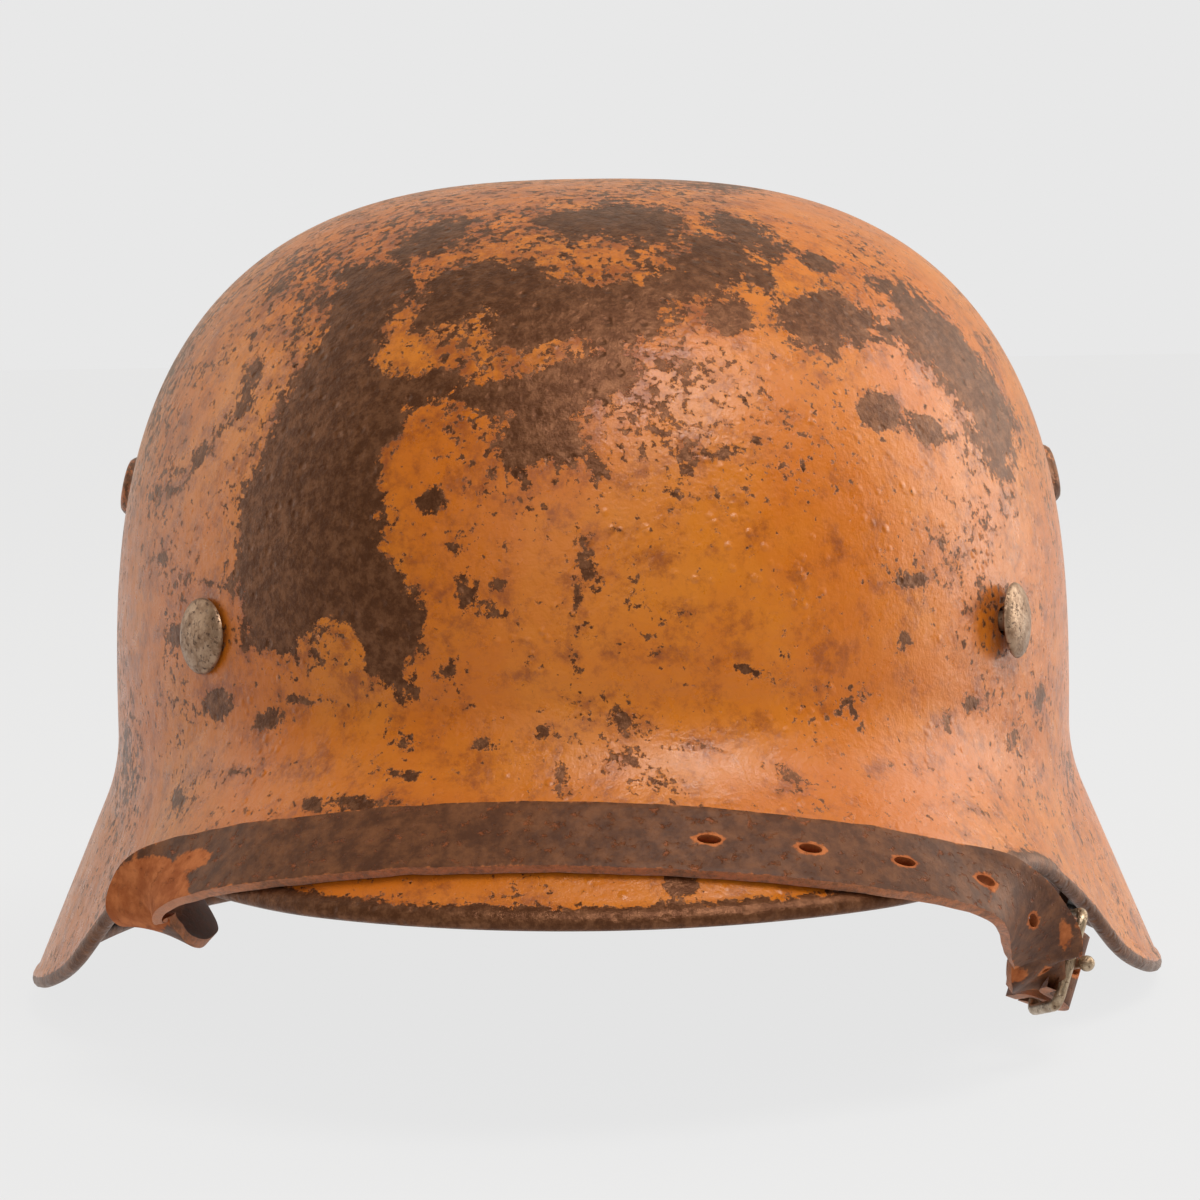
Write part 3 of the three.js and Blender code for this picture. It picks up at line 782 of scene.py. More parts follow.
@dataclass(frozen=True)
class WornPaint:
    """Ochre paint over dark brown steel, worn through where the shell's own wear says."""

    name: str = "worn_ochre_paint"
    ochre: Colour = (0.5, 0.128, 0.006)
    yellow: Colour = (0.56, 0.172, 0.012)
    burnt: Colour = (0.22, 0.05, 0.009)
    dust: Colour = (1.0, 0.85, 0.68)
    bare: Colour = (0.085, 0.026, 0.006)
    bare_grey: Colour = (0.19, 0.075, 0.03)
    # Painted shade: the near-black colour of the shell's inside stands for the hollow's shade.
    inside: Colour = (0.012, 0.008, 0.006)
    dust_share: float = 0.12
    shine: tuple[float, float] = (0.24, 0.42)
    worn_metal: float = 0.6
    grime_share: float = 0.85
    film_depth: float = 0.14
    pimple_depth: float = 0.2
    swell_depth: float = 0.36
    pit_depth: float = 0.12

    def patches(self, g: Graph, bare: Socket) -> Socket:
        """Bare patches with an edge broken up by a coarse and a fine noise.

        Args:
            g: the finish's node tree.
            bare: the vertices' own bareness.

        Returns:
            1 where the paint is gone.
        """
        coarse = g.sum("MULTIPLY", g.sum("SUBTRACT", g.noise(Grain(120, 12, 0.74)), 0.5), 2.7)
        fine = g.sum("MULTIPLY", g.sum("SUBTRACT", g.noise(Grain(620, 6, 0.72)), 0.5), 1.5)
        return g.span(g.sum("ADD", bare, g.sum("ADD", coarse, fine)), -0.02, 0.05)

    def flecks(self, g: Graph, near: Socket, wear: Socket) -> Socket:
        """Specks, slanting streaks and long scratches, more of them where the shell is worn.

        Args:
            g: the finish's node tree.
            near: how close to wear a place is.
            wear: the vertices' own wear.

        Returns:
            1 where the paint is gone.
        """
        blotches = g.sum("MULTIPLY", g.noise(Grain(48, 4, 0.6)), 0.4)
        grit = g.sum("ADD", g.noise(Grain(560, 6, 0.68)), blotches)
        specks = g.span(g.sum("ADD", grit, near), 0.81, 0.85)
        slanting = g.noise(Grain(330, 6, 0.66), g.stretched((1, 1, 2.6), (0, 12, 0)))
        streaks = g.span(g.sum("ADD", slanting, g.sum("MULTIPLY", near, 0.8)), 0.72, 0.76)
        lines = g.noise(Grain(1, 5, 0.65), g.stretched((1100, 90, 90), (0, 0, 25)))
        scratches = g.span(g.sum("ADD", lines, g.sum("MULTIPLY", wear, 0.1)), 0.76, 0.8)
        return g.sum("MAXIMUM", g.sum("MAXIMUM", specks, streaks), g.sum("MULTIPLY", scratches, 0.8))

    def colour(self, g: Graph, near: Socket, worn: Socket) -> Socket:
        """Cloudy paint with grime, rusty steel where it is gone, and painted shade on the inside: near black.

        Args:
            g: the finish's node tree.
            near: how close to wear a place is.
            worn: 1 where the paint is gone.

        Returns:
            The colour.
        """
        paint = g.mix(g.span(g.noise(Grain(28)), 0.35, 0.7), self.ochre, self.yellow)
        dirt = g.sum("ADD", g.noise(Grain(170, 10, 0.78)), g.sum("MULTIPLY", near, 0.9))
        grime = g.sum("MULTIPLY", g.span(dirt, 0.46, 0.7), self.grime_share)
        rust = g.span(g.noise(Grain(420, 10, 0.75)), 0.4, 0.66)
        steel = g.mix(rust, self.bare, self.bare_grey)
        outer = g.mix(worn, g.mix(grime, paint, self.burnt), steel)
        # Painted shade: the inside of the shell is coloured near black.
        return g.mix(g.attribute("inside_painted_shade"), outer, self.inside)

    def relief(self, g: Graph, worn: Socket) -> Socket:
        """The paint's film, its pimples and swells, and pits in the bare steel.

        Args:
            g: the finish's node tree.
            worn: 1 where the paint is gone.

        Returns:
            The bent normal.
        """
        peel = g.bump(g.noise(Grain(620, 6, 0.66)), self.film_depth)
        blistered = g.sum("SUBTRACT", g.span(g.noise(Grain(70, 3, 0.55)), 0.46, 0.66), worn)
        pimples = g.sum("MULTIPLY", g.span(g.cells(330), 0.34, 0.05), blistered)
        lumps = g.bump(pimples, self.pimple_depth, peel)
        swell = g.bump(g.noise(Grain(150, 5)), self.swell_depth, lumps)
        pits = g.bump(g.sum("MULTIPLY", g.noise(Grain(1500, 4, 0.7)), worn), self.pit_depth, swell)
        return g.bump(g.sum("SUBTRACT", 1.0, worn), self.film_depth, pits)

    def build(self) -> bpy.types.Material:
        """Makes the material.

        Returns:
            The material.
        """
        g = Graph(self.name)
        bare, wear = g.attribute("bare"), g.attribute("wear")
        near = g.sum("ADD", g.sum("MULTIPLY", wear, 0.13), g.sum("MULTIPLY", bare, 0.05))
        worn = g.sum("MAXIMUM", self.patches(g, bare), self.flecks(g, near, wear))
        g.set("Base Color", self.colour(g, near, worn))
        g.set("Metallic", g.sum("MULTIPLY", worn, self.worn_metal))
        g.set("Specular IOR Level", 0.4)
        g.set("Sheen Weight", self.dust_share)
        g.set("Sheen Roughness", 0.35)
        g.set("Sheen Tint", self.dust)
        shine = g.span(g.noise(Grain(240, 5)), 0.3, 0.75, *self.shine)
        g.set("Roughness", g.sum("ADD", shine, g.sum("MULTIPLY", worn, 0.08)))
        g.set("Normal", self.relief(g, worn))
        return g.material


@dataclass(frozen=True)
class OldMetal:
    """Dull plated or bare steel with pits and brown tarnish."""

    name: str
    bright: Colour
    dark: Colour
    tarnish: Colour
    metallic: float = 0.85
    roughness: float = 0.42
    grain: float = 420.0
    dull_depth: float = 0.12
    pit_depth: float = 0.16

    def build(self) -> bpy.types.Material:
        """Makes the material.

        Returns:
            The material.
        """
        g = Graph(self.name)
        cloud = g.span(g.noise(Grain(self.grain, 8, 0.7)), 0.38, 0.68)
        pits = g.span(g.noise(Grain(self.grain * 3.2, 5)), 0.55, 0.68)
        body = g.mix(cloud, self.bright, self.dark)
        g.set("Base Color", g.mix(g.sum("MULTIPLY", pits, 0.8), body, self.tarnish))
        g.set("Metallic", self.metallic)
        rough = g.sum("MULTIPLY", cloud, 0.2)
        g.set("Roughness", g.sum("ADD", rough, self.roughness))
        dull = g.bump(g.noise(Grain(self.grain * 2.2, 6, 0.65)), self.dull_depth)
        g.set("Normal", g.bump(g.sum("SUBTRACT", 1.0, pits), self.pit_depth, dull))
        return g.material


class Side(Enum):
    """The sides of a leather strap, in the order of its material slots."""

    GRAIN = 0
    FLESH = 1
    CUT = 2


@dataclass(frozen=True)
class OldLeather:
    """One side of old leather: a smooth dark grain side, or red-brown suede."""

    name: str
    side: Side
    dark: Colour = (0.07, 0.023, 0.008)
    brown: Colour = (0.17, 0.062, 0.022)
    suede: Colour = (0.3, 0.075, 0.018)
    fray: Colour = (0.5, 0.16, 0.05)
    grain_depth: float = 0.12
    wrinkle_depth: float = 0.2
    suede_depth: float = 0.3

    def build(self) -> bpy.types.Material:
        """Makes the material.

        Returns:
            The material.
        """
        g = Graph(self.name)
        mottle = g.span(g.noise(Grain(260, 8, 0.68)), 0.35, 0.7)
        hair = g.noise(Grain(1, 5, 0.62), g.surface((420, 7)))
        wrinkles = g.span(hair, 0.56, 0.68)
        ragged = g.sum("MULTIPLY", g.sum("SUBTRACT", g.noise(Grain(520, 7, 0.7)), 0.5), 1.5)
        rubbed = g.span(g.sum("ADD", g.attribute("scuff"), ragged), 0.45, 0.7)
        if self.side is Side.GRAIN:
            skin = g.mix(mottle, self.dark, self.brown)
            skin = g.mix(g.sum("MULTIPLY", wrinkles, 0.55), skin, self.suede)
            colour = g.mix(rubbed, skin, g.mix(mottle, self.suede, self.fray))
            g.set("Roughness", g.span(rubbed, 0, 1, 0.5, 0.85))
            g.set("Specular IOR Level", 0.22)
            relief = g.bump(g.noise(Grain(900, 5)), self.grain_depth)
            relief = g.bump(g.sum("SUBTRACT", 1.0, wrinkles), self.wrinkle_depth, relief)
        else:
            streaks = g.span(g.noise(Grain(700, 8, 0.75)), 0.35, 0.68)
            bright = self.fray if self.side is Side.CUT else self.suede
            base = g.mix(streaks, bright, self.brown)
            colour = g.mix(g.sum("MULTIPLY", rubbed, 0.6), base, self.fray)
            g.set("Roughness", 0.9)
            g.set("Sheen Weight", 0.3)
            relief = g.bump(g.noise(Grain(1300, 6, 0.75)), self.suede_depth)
        g.set("Base Color", colour)
        g.set("Normal", relief)
        return g.material


@dataclass(frozen=True)
class StudioGround:
    """The plain pale floor."""

    name: str = "pale_floor"
    tone: Colour = (0.05, 0.05, 0.05)
    glow: float = 0.775

    def build(self) -> bpy.types.Material:
        """Makes the material.

        Returns:
            The material.
        """
        g = Graph(self.name)
        g.set("Base Color", self.tone)
        g.set("Roughness", 0.9)
        g.set("Specular IOR Level", 0.0)
        g.set("Emission Color", (1.0, 1.0, 1.0))
        g.set("Emission Strength", self.glow)
        return g.material


PAINT = WornPaint()
NICKEL = OldMetal("pitted_nickel", (0.36, 0.235, 0.15), (0.2, 0.11, 0.06), (0.05, 0.022, 0.012), 0.8, 0.36)
BAND_STEEL = OldMetal("brown_band_steel", (0.09, 0.065, 0.05), (0.05, 0.035, 0.028), (0.1, 0.04, 0.02),
                      0.5, 0.55)
BUCKLE_STEEL = OldMetal("worn_buckle_steel", (0.5, 0.38, 0.26), (0.26, 0.17, 0.1), (0.1, 0.05, 0.025),
                        0.9, 0.3)


# Wear of the paint, charted in the photograph's pixels


@dataclass(frozen=True)
class Blot:
    """An oval bare patch: its middle, its half sizes and its turn in degrees, clockwise in the picture."""

    x: float
    y: float
    long: float
    wide: float
    turn: float = 0.0

    def depth(self, px: Array, py: Array) -> Array:
        """How deep pixels lie inside the patch.

        Args:
            px: pixel columns.
            py: pixel rows.

        Returns:
            The depths in pixels, negative outside.
        """
        angle = math.radians(self.turn)
        dx, dy = px - self.x, py - self.y
        along = (dx * math.cos(angle) + dy * math.sin(angle)) / self.long
        side = (dy * math.cos(angle) - dx * math.sin(angle)) / self.wide
        return (1 - np.hypot(along, side)) * min(self.long, self.wide)


@dataclass(frozen=True)
class Patch:
    """A large bare patch by its outline."""

    outline: tuple[Pair, ...]

    def depth(self, px: Array, py: Array) -> Array:
        """How deep pixels lie inside the outline.

        Args:
            px: pixel columns.
            py: pixel rows.

        Returns:
            The depths in pixels, negative outside.
        """
        nearest = np.full(px.shape, 1e9)
        inside = np.zeros(px.shape, bool)
        for (x0, y0), (x1, y1) in zip(self.outline, self.outline[1:] + self.outline[:1]):
            ex, ey = x1 - x0, y1 - y0
            t = np.clip(((px - x0) * ex + (py - y0) * ey) / (ex * ex + ey * ey), 0, 1)
            nearest = np.minimum(nearest, np.hypot(px - x0 - t * ex, py - y0 - t * ey))
            if y0 != y1:
                crosses = (y0 > py) != (y1 > py)
                inside ^= crosses & (px < x0 + (py - y0) * ex / ey)
        return np.where(inside, nearest, -nearest)


BARE_PATCHES = (
    Patch(((345, 266), (378, 262), (412, 270), (416, 292), (392, 312), (380, 340), (374, 366), (400, 374),
           (440, 366), (470, 382), (505, 374), (560, 356), (620, 346), (642, 364), (626, 386), (592, 402),
           (576, 420), (586, 454), (562, 466), (541, 456), (524, 474), (500, 466), (496, 440), (512, 424),
           (480, 410), (440, 406), (412, 402), (400, 432), (386, 456), (389, 482), (384, 516), (378, 546),
           (396, 560), (416, 576), (425, 606), (416, 642), (411, 672), (418, 692), (395, 696), (372, 686),
           (368, 656), (346, 630), (330, 626), (312, 642), (296, 658), (270, 656), (245, 646), (237, 610),
           (240, 570), (235, 520), (246, 480), (262, 430), (281, 400), (301, 370), (321, 340), (336, 310))),
    Patch(((420, 300), (430, 268), (480, 258), (530, 262), (560, 276), (600, 286), (640, 282), (700, 262),
           (742, 268), (735, 290), (700, 300), (664, 312), (650, 340), (610, 346), (560, 340), (530, 352),
           (490, 348), (500, 320), (470, 318), (440, 336), (415, 326))),
    Patch(((392, 252), (420, 226), (462, 214), (484, 224), (470, 242), (430, 254), (410, 264))),
    Patch(((540, 222), (565, 208), (610, 200), (655, 200), (684, 214), (676, 232), (640, 242), (600, 236),
           (566, 240))),
    Patch(((664, 250), (700, 238), (740, 244), (742, 262), (716, 280), (684, 276))),
    Patch(((700, 212), (740, 212), (764, 232), (790, 250), (776, 262), (742, 250), (716, 236))),
    Patch(((788, 300), (806, 282), (840, 288), (872, 318), (874, 344), (848, 352), (836, 368), (812, 352),
           (790, 336), (772, 322))),
    Patch(((868, 276), (906, 286), (952, 312), (986, 348), (1012, 386), (1030, 428), (1012, 440), (1004, 474),
           (988, 462), (972, 436), (964, 404), (936, 382), (912, 356), (884, 330), (898, 310), (870, 294))),
)
BARE_BLOTS = (
    Blot(728, 317, 25, 18), Blot(880, 410, 24, 17, 30), Blot(931, 432, 18, 12, 40),
    Blot(586, 558, 10, 21), Blot(480, 607, 25, 9, 10), Blot(914, 579, 25, 8, 5),
    Blot(941, 543, 13, 7, 45), Blot(684, 621, 7, 10), Blot(622, 720, 11, 8, 40), Blot(488, 746, 10, 7),
    Blot(561, 773, 5, 17), Blot(660, 781, 15, 5, 5), Blot(792, 779, 6, 13, -40), Blot(265, 723, 17, 9, -25),
    Blot(178, 798, 9, 13), Blot(312, 804, 11, 8), Blot(368, 805, 28, 7), Blot(220, 588, 25, 8, 10),
    Blot(216, 704, 16, 18, 60), Blot(176, 636, 7, 9), Blot(462, 572, 12, 7), Blot(498, 583, 12, 6, 45),
    Blot(506, 550, 6, 5), Blot(720, 452, 12, 6), Blot(682, 456, 8, 7), Blot(598, 468, 10, 5, 45),
    Blot(432, 500, 14, 14), Blot(820, 262, 16, 9, 20), Blot(760, 278, 16, 9, 40), Blot(690, 372, 9, 6),
    Blot(972, 704, 8, 8), Blot(947, 722, 5, 10), Blot(1004, 470, 8, 12), Blot(324, 300, 8, 5),
    Blot(628, 759, 12, 5, 10), Blot(404, 742, 5, 4), Blot(1020, 604, 20, 6), Blot(884, 560, 5, 5),
    Blot(748, 720, 6, 4), Blot(530, 665, 4, 5), Blot(678, 886, 20, 12), Blot(280, 285, 14, 4, -40),
    Blot(300, 330, 12, 4, -55), Blot(252, 376, 20, 5, -60), Blot(270, 648, 40, 4, 8),
    Blot(160, 560, 16, 5, -30), Blot(205, 450, 26, 4, -48), Blot(232, 420, 22, 3, -50),
    Blot(574, 640, 2.5, 40, 2), Blot(740, 668, 14, 3, 20), Blot(640, 587, 9, 5, 40),
    Blot(455, 545, 10, 4, -30), Blot(655, 655, 10, 3, -20), Blot(868, 250, 14, 5, 35),
    Blot(950, 560, 9, 4, 50), Blot(985, 520, 5, 10), Blot(1040, 700, 6, 12, 10), Blot(1015, 740, 5, 9),
    Blot(240, 770, 26, 3, -4), Blot(300, 700, 12, 3, 12), Blot(540, 735, 8, 3, -25), Blot(705, 745, 9, 3, 30),
    Blot(450, 668, 5, 8, 20), Blot(400, 775, 16, 3, 4), Blot(850, 700, 8, 3, -40), Blot(905, 640, 5, 7),
)


@dataclass
class Wear:
    """How far the paint is worn away over the shell's outside."""

    patch_reach: float = 32.0
    blot_reach: float = 15.0
    blotch: float = 34.0
    crown_height: float = 128.0
    crown_fade: float = 34.0
    crown_share: float = 0.55
    rim_bare: float = 1.4
    rim_fade: float = 1.8
    front_half: float = 52.0

    def charted(self, points: Array) -> Array:
        """The photograph's bare patches.

        Args:
            points: places in millimetres.

        Returns:
            From about 1 deep inside a patch to -1 far outside.
        """
        px, py = VIEW.pixels(points)
        depth = np.full(len(points), -1.0)
        for marks, reach in ((BARE_PATCHES, self.patch_reach), (BARE_BLOTS, self.blot_reach)):
            for mark in marks:
                depth = np.maximum(depth, mark.depth(px, py) / reach)
        return np.clip(depth, -1, 1)

    def scattered(self, points: Array) -> Array:
        """Patches where the photograph doesn't show the shell: in blotches, and most behind the crown.

        Args:
            points: places in millimetres.

        Returns:
            Values above 0 in a patch.
        """
        values = [noise.fractal(Vector(p) / self.blotch, 0.8, 2.1, 4) for p in points.tolist()]
        high = np.clip((points[:, 2] - self.crown_height) / self.crown_fade, 0, 1)
        behind = np.clip((points[:, 1] + 30) / 60, 0, 1)
        return np.clip(np.array(values) * 1.2 - 0.75 + self.crown_share * high * behind, -1, 1)

    def rim(self, plan: Array, above: Array) -> Array:
        """The rubbed edge, higher up the sheet at the visor and lobes than at the sides and back.

        Args:
            plan: plan angles in degrees.
            above: heights above the rim's lowest edge.

        Returns:
            Values above 0 where the paint is gone.
        """
        front = np.abs(plan % 360 - 180) > 180 - self.front_half
        reach = np.where(front, SHELL.roll_height - 0.6, SHELL.roll_height * 0.3)
        return np.clip((reach - above) / self.rim_fade, -1, self.rim_bare)

    def rubbed(self, points: Array) -> Array:
        """How much small wear there is: most at the photograph's upper left, more at its two sides.

        Args:
            points: places in millimetres.

        Returns:
            Shares from 0.3 to 1.
        """
        px, py = VIEW.pixels(points)
        high = np.clip((620 - py) / 400, 0, 1) * np.clip((780 - px) / 60, 0, 1)
        sides = np.clip((np.abs(px - 595) - 330) / 100, 0, 1) * 0.2
        return np.clip(0.3 + 0.6 * high + sides, 0, 1)

    def bare(self, points: Array, normals: Array) -> Array:
        """The wear at each point of the outside.

        Args:
            points: places in millimetres.
            normals: the surface's outward directions there.

        Returns:
            Values above 0 where the paint is gone, before the finish's own uneven edge.
        """
        seen = np.clip((VIEW.facing(points, normals) - 0.12) / 0.2, 0, 1)
        return seen * self.charted(points) + (1 - seen) * self.scattered(points)


# Sub-assemblies


@dataclass
class HelmetShell:
    """The fine shell with its rolled rim, vents and rivet holes."""

    segments: int = 440
    dome_rows: int = 56
    skirt_rows: int = 50
    bead_steps: int = 12
    inner_dome_rows: int = 20
    inner_skirt_rows: int = 30
    shoulder: float = 82.0
    crease: float = 50.0

    def heights(self, plan: Array, stand: float, bottom: Array, rows: tuple[int, int]) -> list[Array]:
        """Heights of the rows down one side of the sheet.

        Args:
            plan: plan angles in degrees.
            stand: how far outside the sheet's outer side.
            bottom: height of the row below the last one.
            rows: rows over the dome and down the skirt.

        Returns:
            One array of heights for each row.
        """
        exponent = SHELL.value("exponent", plan)
        rise = SHELL.height + stand - SHELL.widest
        last = np.arccos(((self.shoulder - SHELL.widest) / rise) ** (exponent / 2))
        made = []
        for i in range(rows[0]):
            made.append(SHELL.widest + rise * np.cos(last * (i + 1) / rows[0]) ** (2 / exponent))
        for i in range(1, rows[1]):
            made.append(self.shoulder + (bottom - self.shoulder) * i / rows[1])
        return made

    def build(self) -> bpy.types.Object:
        """Makes the shell and wears it.

        Returns:
            The shell.
        """
        plan = np.arange(self.segments) * 360 / self.segments + 90
        bead = SHELL.bead(plan, self.bead_steps)
        outside = [SHELL.point(plan, height) for height in self.heights(
            plan, 0, bead[0][:, 2], (self.dome_rows, self.skirt_rows))]
        inside = [SHELL.point(plan, height, -SHELL.wall) for height in self.heights(
            plan, -SHELL.wall, bead[-1][:, 2], (self.inner_dome_rows, self.inner_skirt_rows))]
        rings = [*outside, *bead, *inside[::-1]]
        poles = (np.array([0, 0, SHELL.height]), np.array([0, 0, SHELL.height - SHELL.wall]))
        shell, ring, column = sphere_rings("shell_sheet", rings, poles)
        self.wear(shell, ring, plan[column], (len(outside), len(bead)))
        holes = [bore(VENTS.frame(side), VENTS.hole, BORE_DEPTH) for side in VENTS.sides]
        cut(shell, holes + RIVETS.bores())
        smooth(shell, self.crease)
        shell.data.materials.append(PAINT.build())
        return seat(shell, ("shell",))

    def wear(self, shell: bpy.types.Object, ring: Array, plan: Array, rows: tuple[int, int]) -> None:
        """Stores the paint's wear, and the inside that takes painted shade, on the vertices.

        Args:
            shell: the shell's mesh, before it is cut.
            ring: each vertex's row, counted from the crown.
            plan: each vertex's plan angle.
            rows: rows of the outside and of the rolled rim.
        """
        outer_rows, bead_rows = rows
        points = vertices(shell) / MM
        _, _, out = SHELL.directions(plan, np.clip(points[:, 2], 1, SHELL.height - 0.5))
        wear = Wear()
        rim = wear.rim(plan, points[:, 2] - SHELL.rim_height(plan))
        rim = np.where(ring >= outer_rows + bead_rows // 3, wear.rim_bare, rim)
        inside = ring > outer_rows + bead_rows - 2
        set_attribute(shell, "bare", np.maximum(wear.bare(points, out), rim))
        # Painted shade: 1 on the inside, which the paint colours near black.
        set_attribute(shell, "inside_painted_shade", inside.astype(float))
        set_attribute(shell, "wear", wear.rubbed(points))


@dataclass
class VentBosses:
    """The stamped ring round each side vent."""

    plan: float = 90.0
    height: float = 105.5
    radius: float = 6.2
    proud: float = 2.0
    hole: float = 2.6
    steps: int = 64
    crease: float = 50.0
    worn: float = 0.8
    sides: tuple[int, int] = (-1, 1)

    def frame(self, side: int) -> Frame:
        """Frame at the middle of one side's vent."""
        return SHELL.frame(side * self.plan, self.height)

    def section(self) -> tuple[Pair, ...]:
        """The boss's section from its foot over its crest, down its hole and back behind the sheet.

        Returns:
            The radius and the height over the sheet at each point.
        """
        radius, proud, hole = self.radius, self.proud, self.hole
        return ((radius + 0.9, -0.5), (radius + 0.5, 0.12), (radius, 0.5), (radius * 0.93, 1.2),
                (radius * 0.84, 1.8), (radius * 0.74, proud), (radius * 0.62, proud * 0.96),
                (hole * 1.15, 1.2), (hole, 0.7), (hole * 0.94, -0.7), (radius * 0.7, -0.8), (radius, -0.7))

    def build(self) -> list[bpy.types.Object]:
        """Makes both bosses.

        Returns:
            The bosses.
        """
        made = []
        turns = np.radians(np.arange(self.steps) * 360 / self.steps)
        for name, side in zip(("vent_left", "vent_right"), self.sides):
            place = self.frame(side)
            rings = [np.array([place.at(r * math.cos(t), z, r * math.sin(t)) for r, z in self.section()])
                     for t in turns]
            boss = torus_rings(name, rings)
            smooth(boss, self.crease)
            bare = [0.1 + 0.5 * noise.noise(Vector(p) * 0.35) for p in (vertices(boss) / MM).tolist()]
            set_attribute(boss, "bare", np.array(bare))
            set_attribute(boss, "wear", np.full(len(bare), self.worn))
            boss.data.materials.append(bpy.data.materials[PAINT.name])
            made.append(seat(boss))
        return made


VENTS = VentBosses()


@dataclass
class SplitRivets:
    """Three split rivets: a domed head, a shank and two prongs clenched behind the band."""

    left_plan: float = 47.5
    right_plan: float = 52.5
    height: float = 82.0
    head: float = 7.1
    dome: float = 2.3
    shank: float = 1.9
    gap: float = 0.35
    clench: float = 3.4
    prong_length: float = 7.5
    prong_width: float = 3.6
    prong_thickness: float = 1.0
    prong_round: float = 0.3
    lift: float = 1.7
    lean: float = 9.0
    hole: float = 2.8
    steps: int = 72
    crease: float = 45.0

    @property
    def plans(self) -> tuple[float, float, float]:
        """Plan angles of the left, right and rear rivets."""
        return (-self.left_plan, self.right_plan, 180.0)

    def bores(self) -> list[bpy.types.Object]:
        """Cutters for the rivets' holes, through the shell and the band."""
        return [bore(SHELL.frame(plan, self.height), self.hole, BORE_DEPTH) for plan in self.plans]

    def pin(self, name: str, lift: float, lean: float) -> bpy.types.Object:
        """Head and shank as one turned body, leaning about the hole.

        Args:
            name: name of the piece.
            lift: how far the head stands off.
            lean: how far it leans, in degrees.

        Returns:
            The body, round the Z axis.
        """
        head, shank, gap = self.head, self.shank, self.gap
        reach = self.clench + gap + lift
        dome = [(head * math.sin(angle), gap + self.dome * (0.1 + 0.9 * math.cos(angle)))
                for angle in map(math.radians, range(6, 91, 6))]
        under = [(head * 0.97, gap * 1.1), (head * 0.9, gap), (head * 0.6, gap * 1.2), (shank * 1.1, gap),
                 (shank, gap * 0.5), (shank, -reach * 0.5), (shank, -reach), (shank * 0.6, -reach - gap)]
        turns = np.radians(np.arange(self.steps) * 360 / self.steps)
        rings = [np.stack([r * np.cos(turns), r * np.sin(turns), np.full(self.steps, z)], -1)
                 for r, z in dome + under]
        poles = (np.array([0, 0, gap + self.dome]), np.array([0, 0, -reach - gap]))
        pin, _, _ = sphere_rings(name, rings, poles)
        place_mesh(pin, Matrix.Translation((0, 0, lift)) @ Matrix.Rotation(math.radians(lean), 4, "Y"))
        return pin

    def prongs(self, name: str) -> bpy.types.Object:
        """The two flat prongs, bent up and down behind the band.

        Args:
            name: name of the piece.

        Returns:
            The prongs, round the Z axis.
        """
        deselect()
        bpy.ops.mesh.primitive_cube_add(size=1)
        prongs = bpy.context.object
        prongs.name = name
        size = np.array([self.prong_width, self.prong_length * 2, self.prong_thickness])
        set_vertices(prongs, vertices(prongs) * size * MM)
        apply_modifier(prongs, "BEVEL", width=self.prong_round * MM, segments=3)
        place_mesh(prongs, Matrix.Translation((0, 0, -self.clench - self.gap / 2)))
        return prongs

    def build(self) -> list[bpy.types.Object]:
        """Makes the three rivets, of which the right one stands loose.

        Returns:
            The rivets.
        """
        finish = NICKEL.build()
        made = []
        for name, plan, loose in zip(("rivet_left", "rivet_right", "rivet_rear"), self.plans, (0, 1, 0)):
            pin = self.pin(name + "_pin", self.lift * loose, self.lean * loose)
            rivet = join(name + "_worn", [pin, self.prongs(name + "_prongs")])
            place_mesh(rivet, SHELL.frame(plan, self.height).matrix())
            smooth(rivet, self.crease)
            rivet.data.materials.clear()
            rivet.data.materials.append(finish)
            made.append(seat(rivet, (name,)))
        return made


RIVETS = SplitRivets()


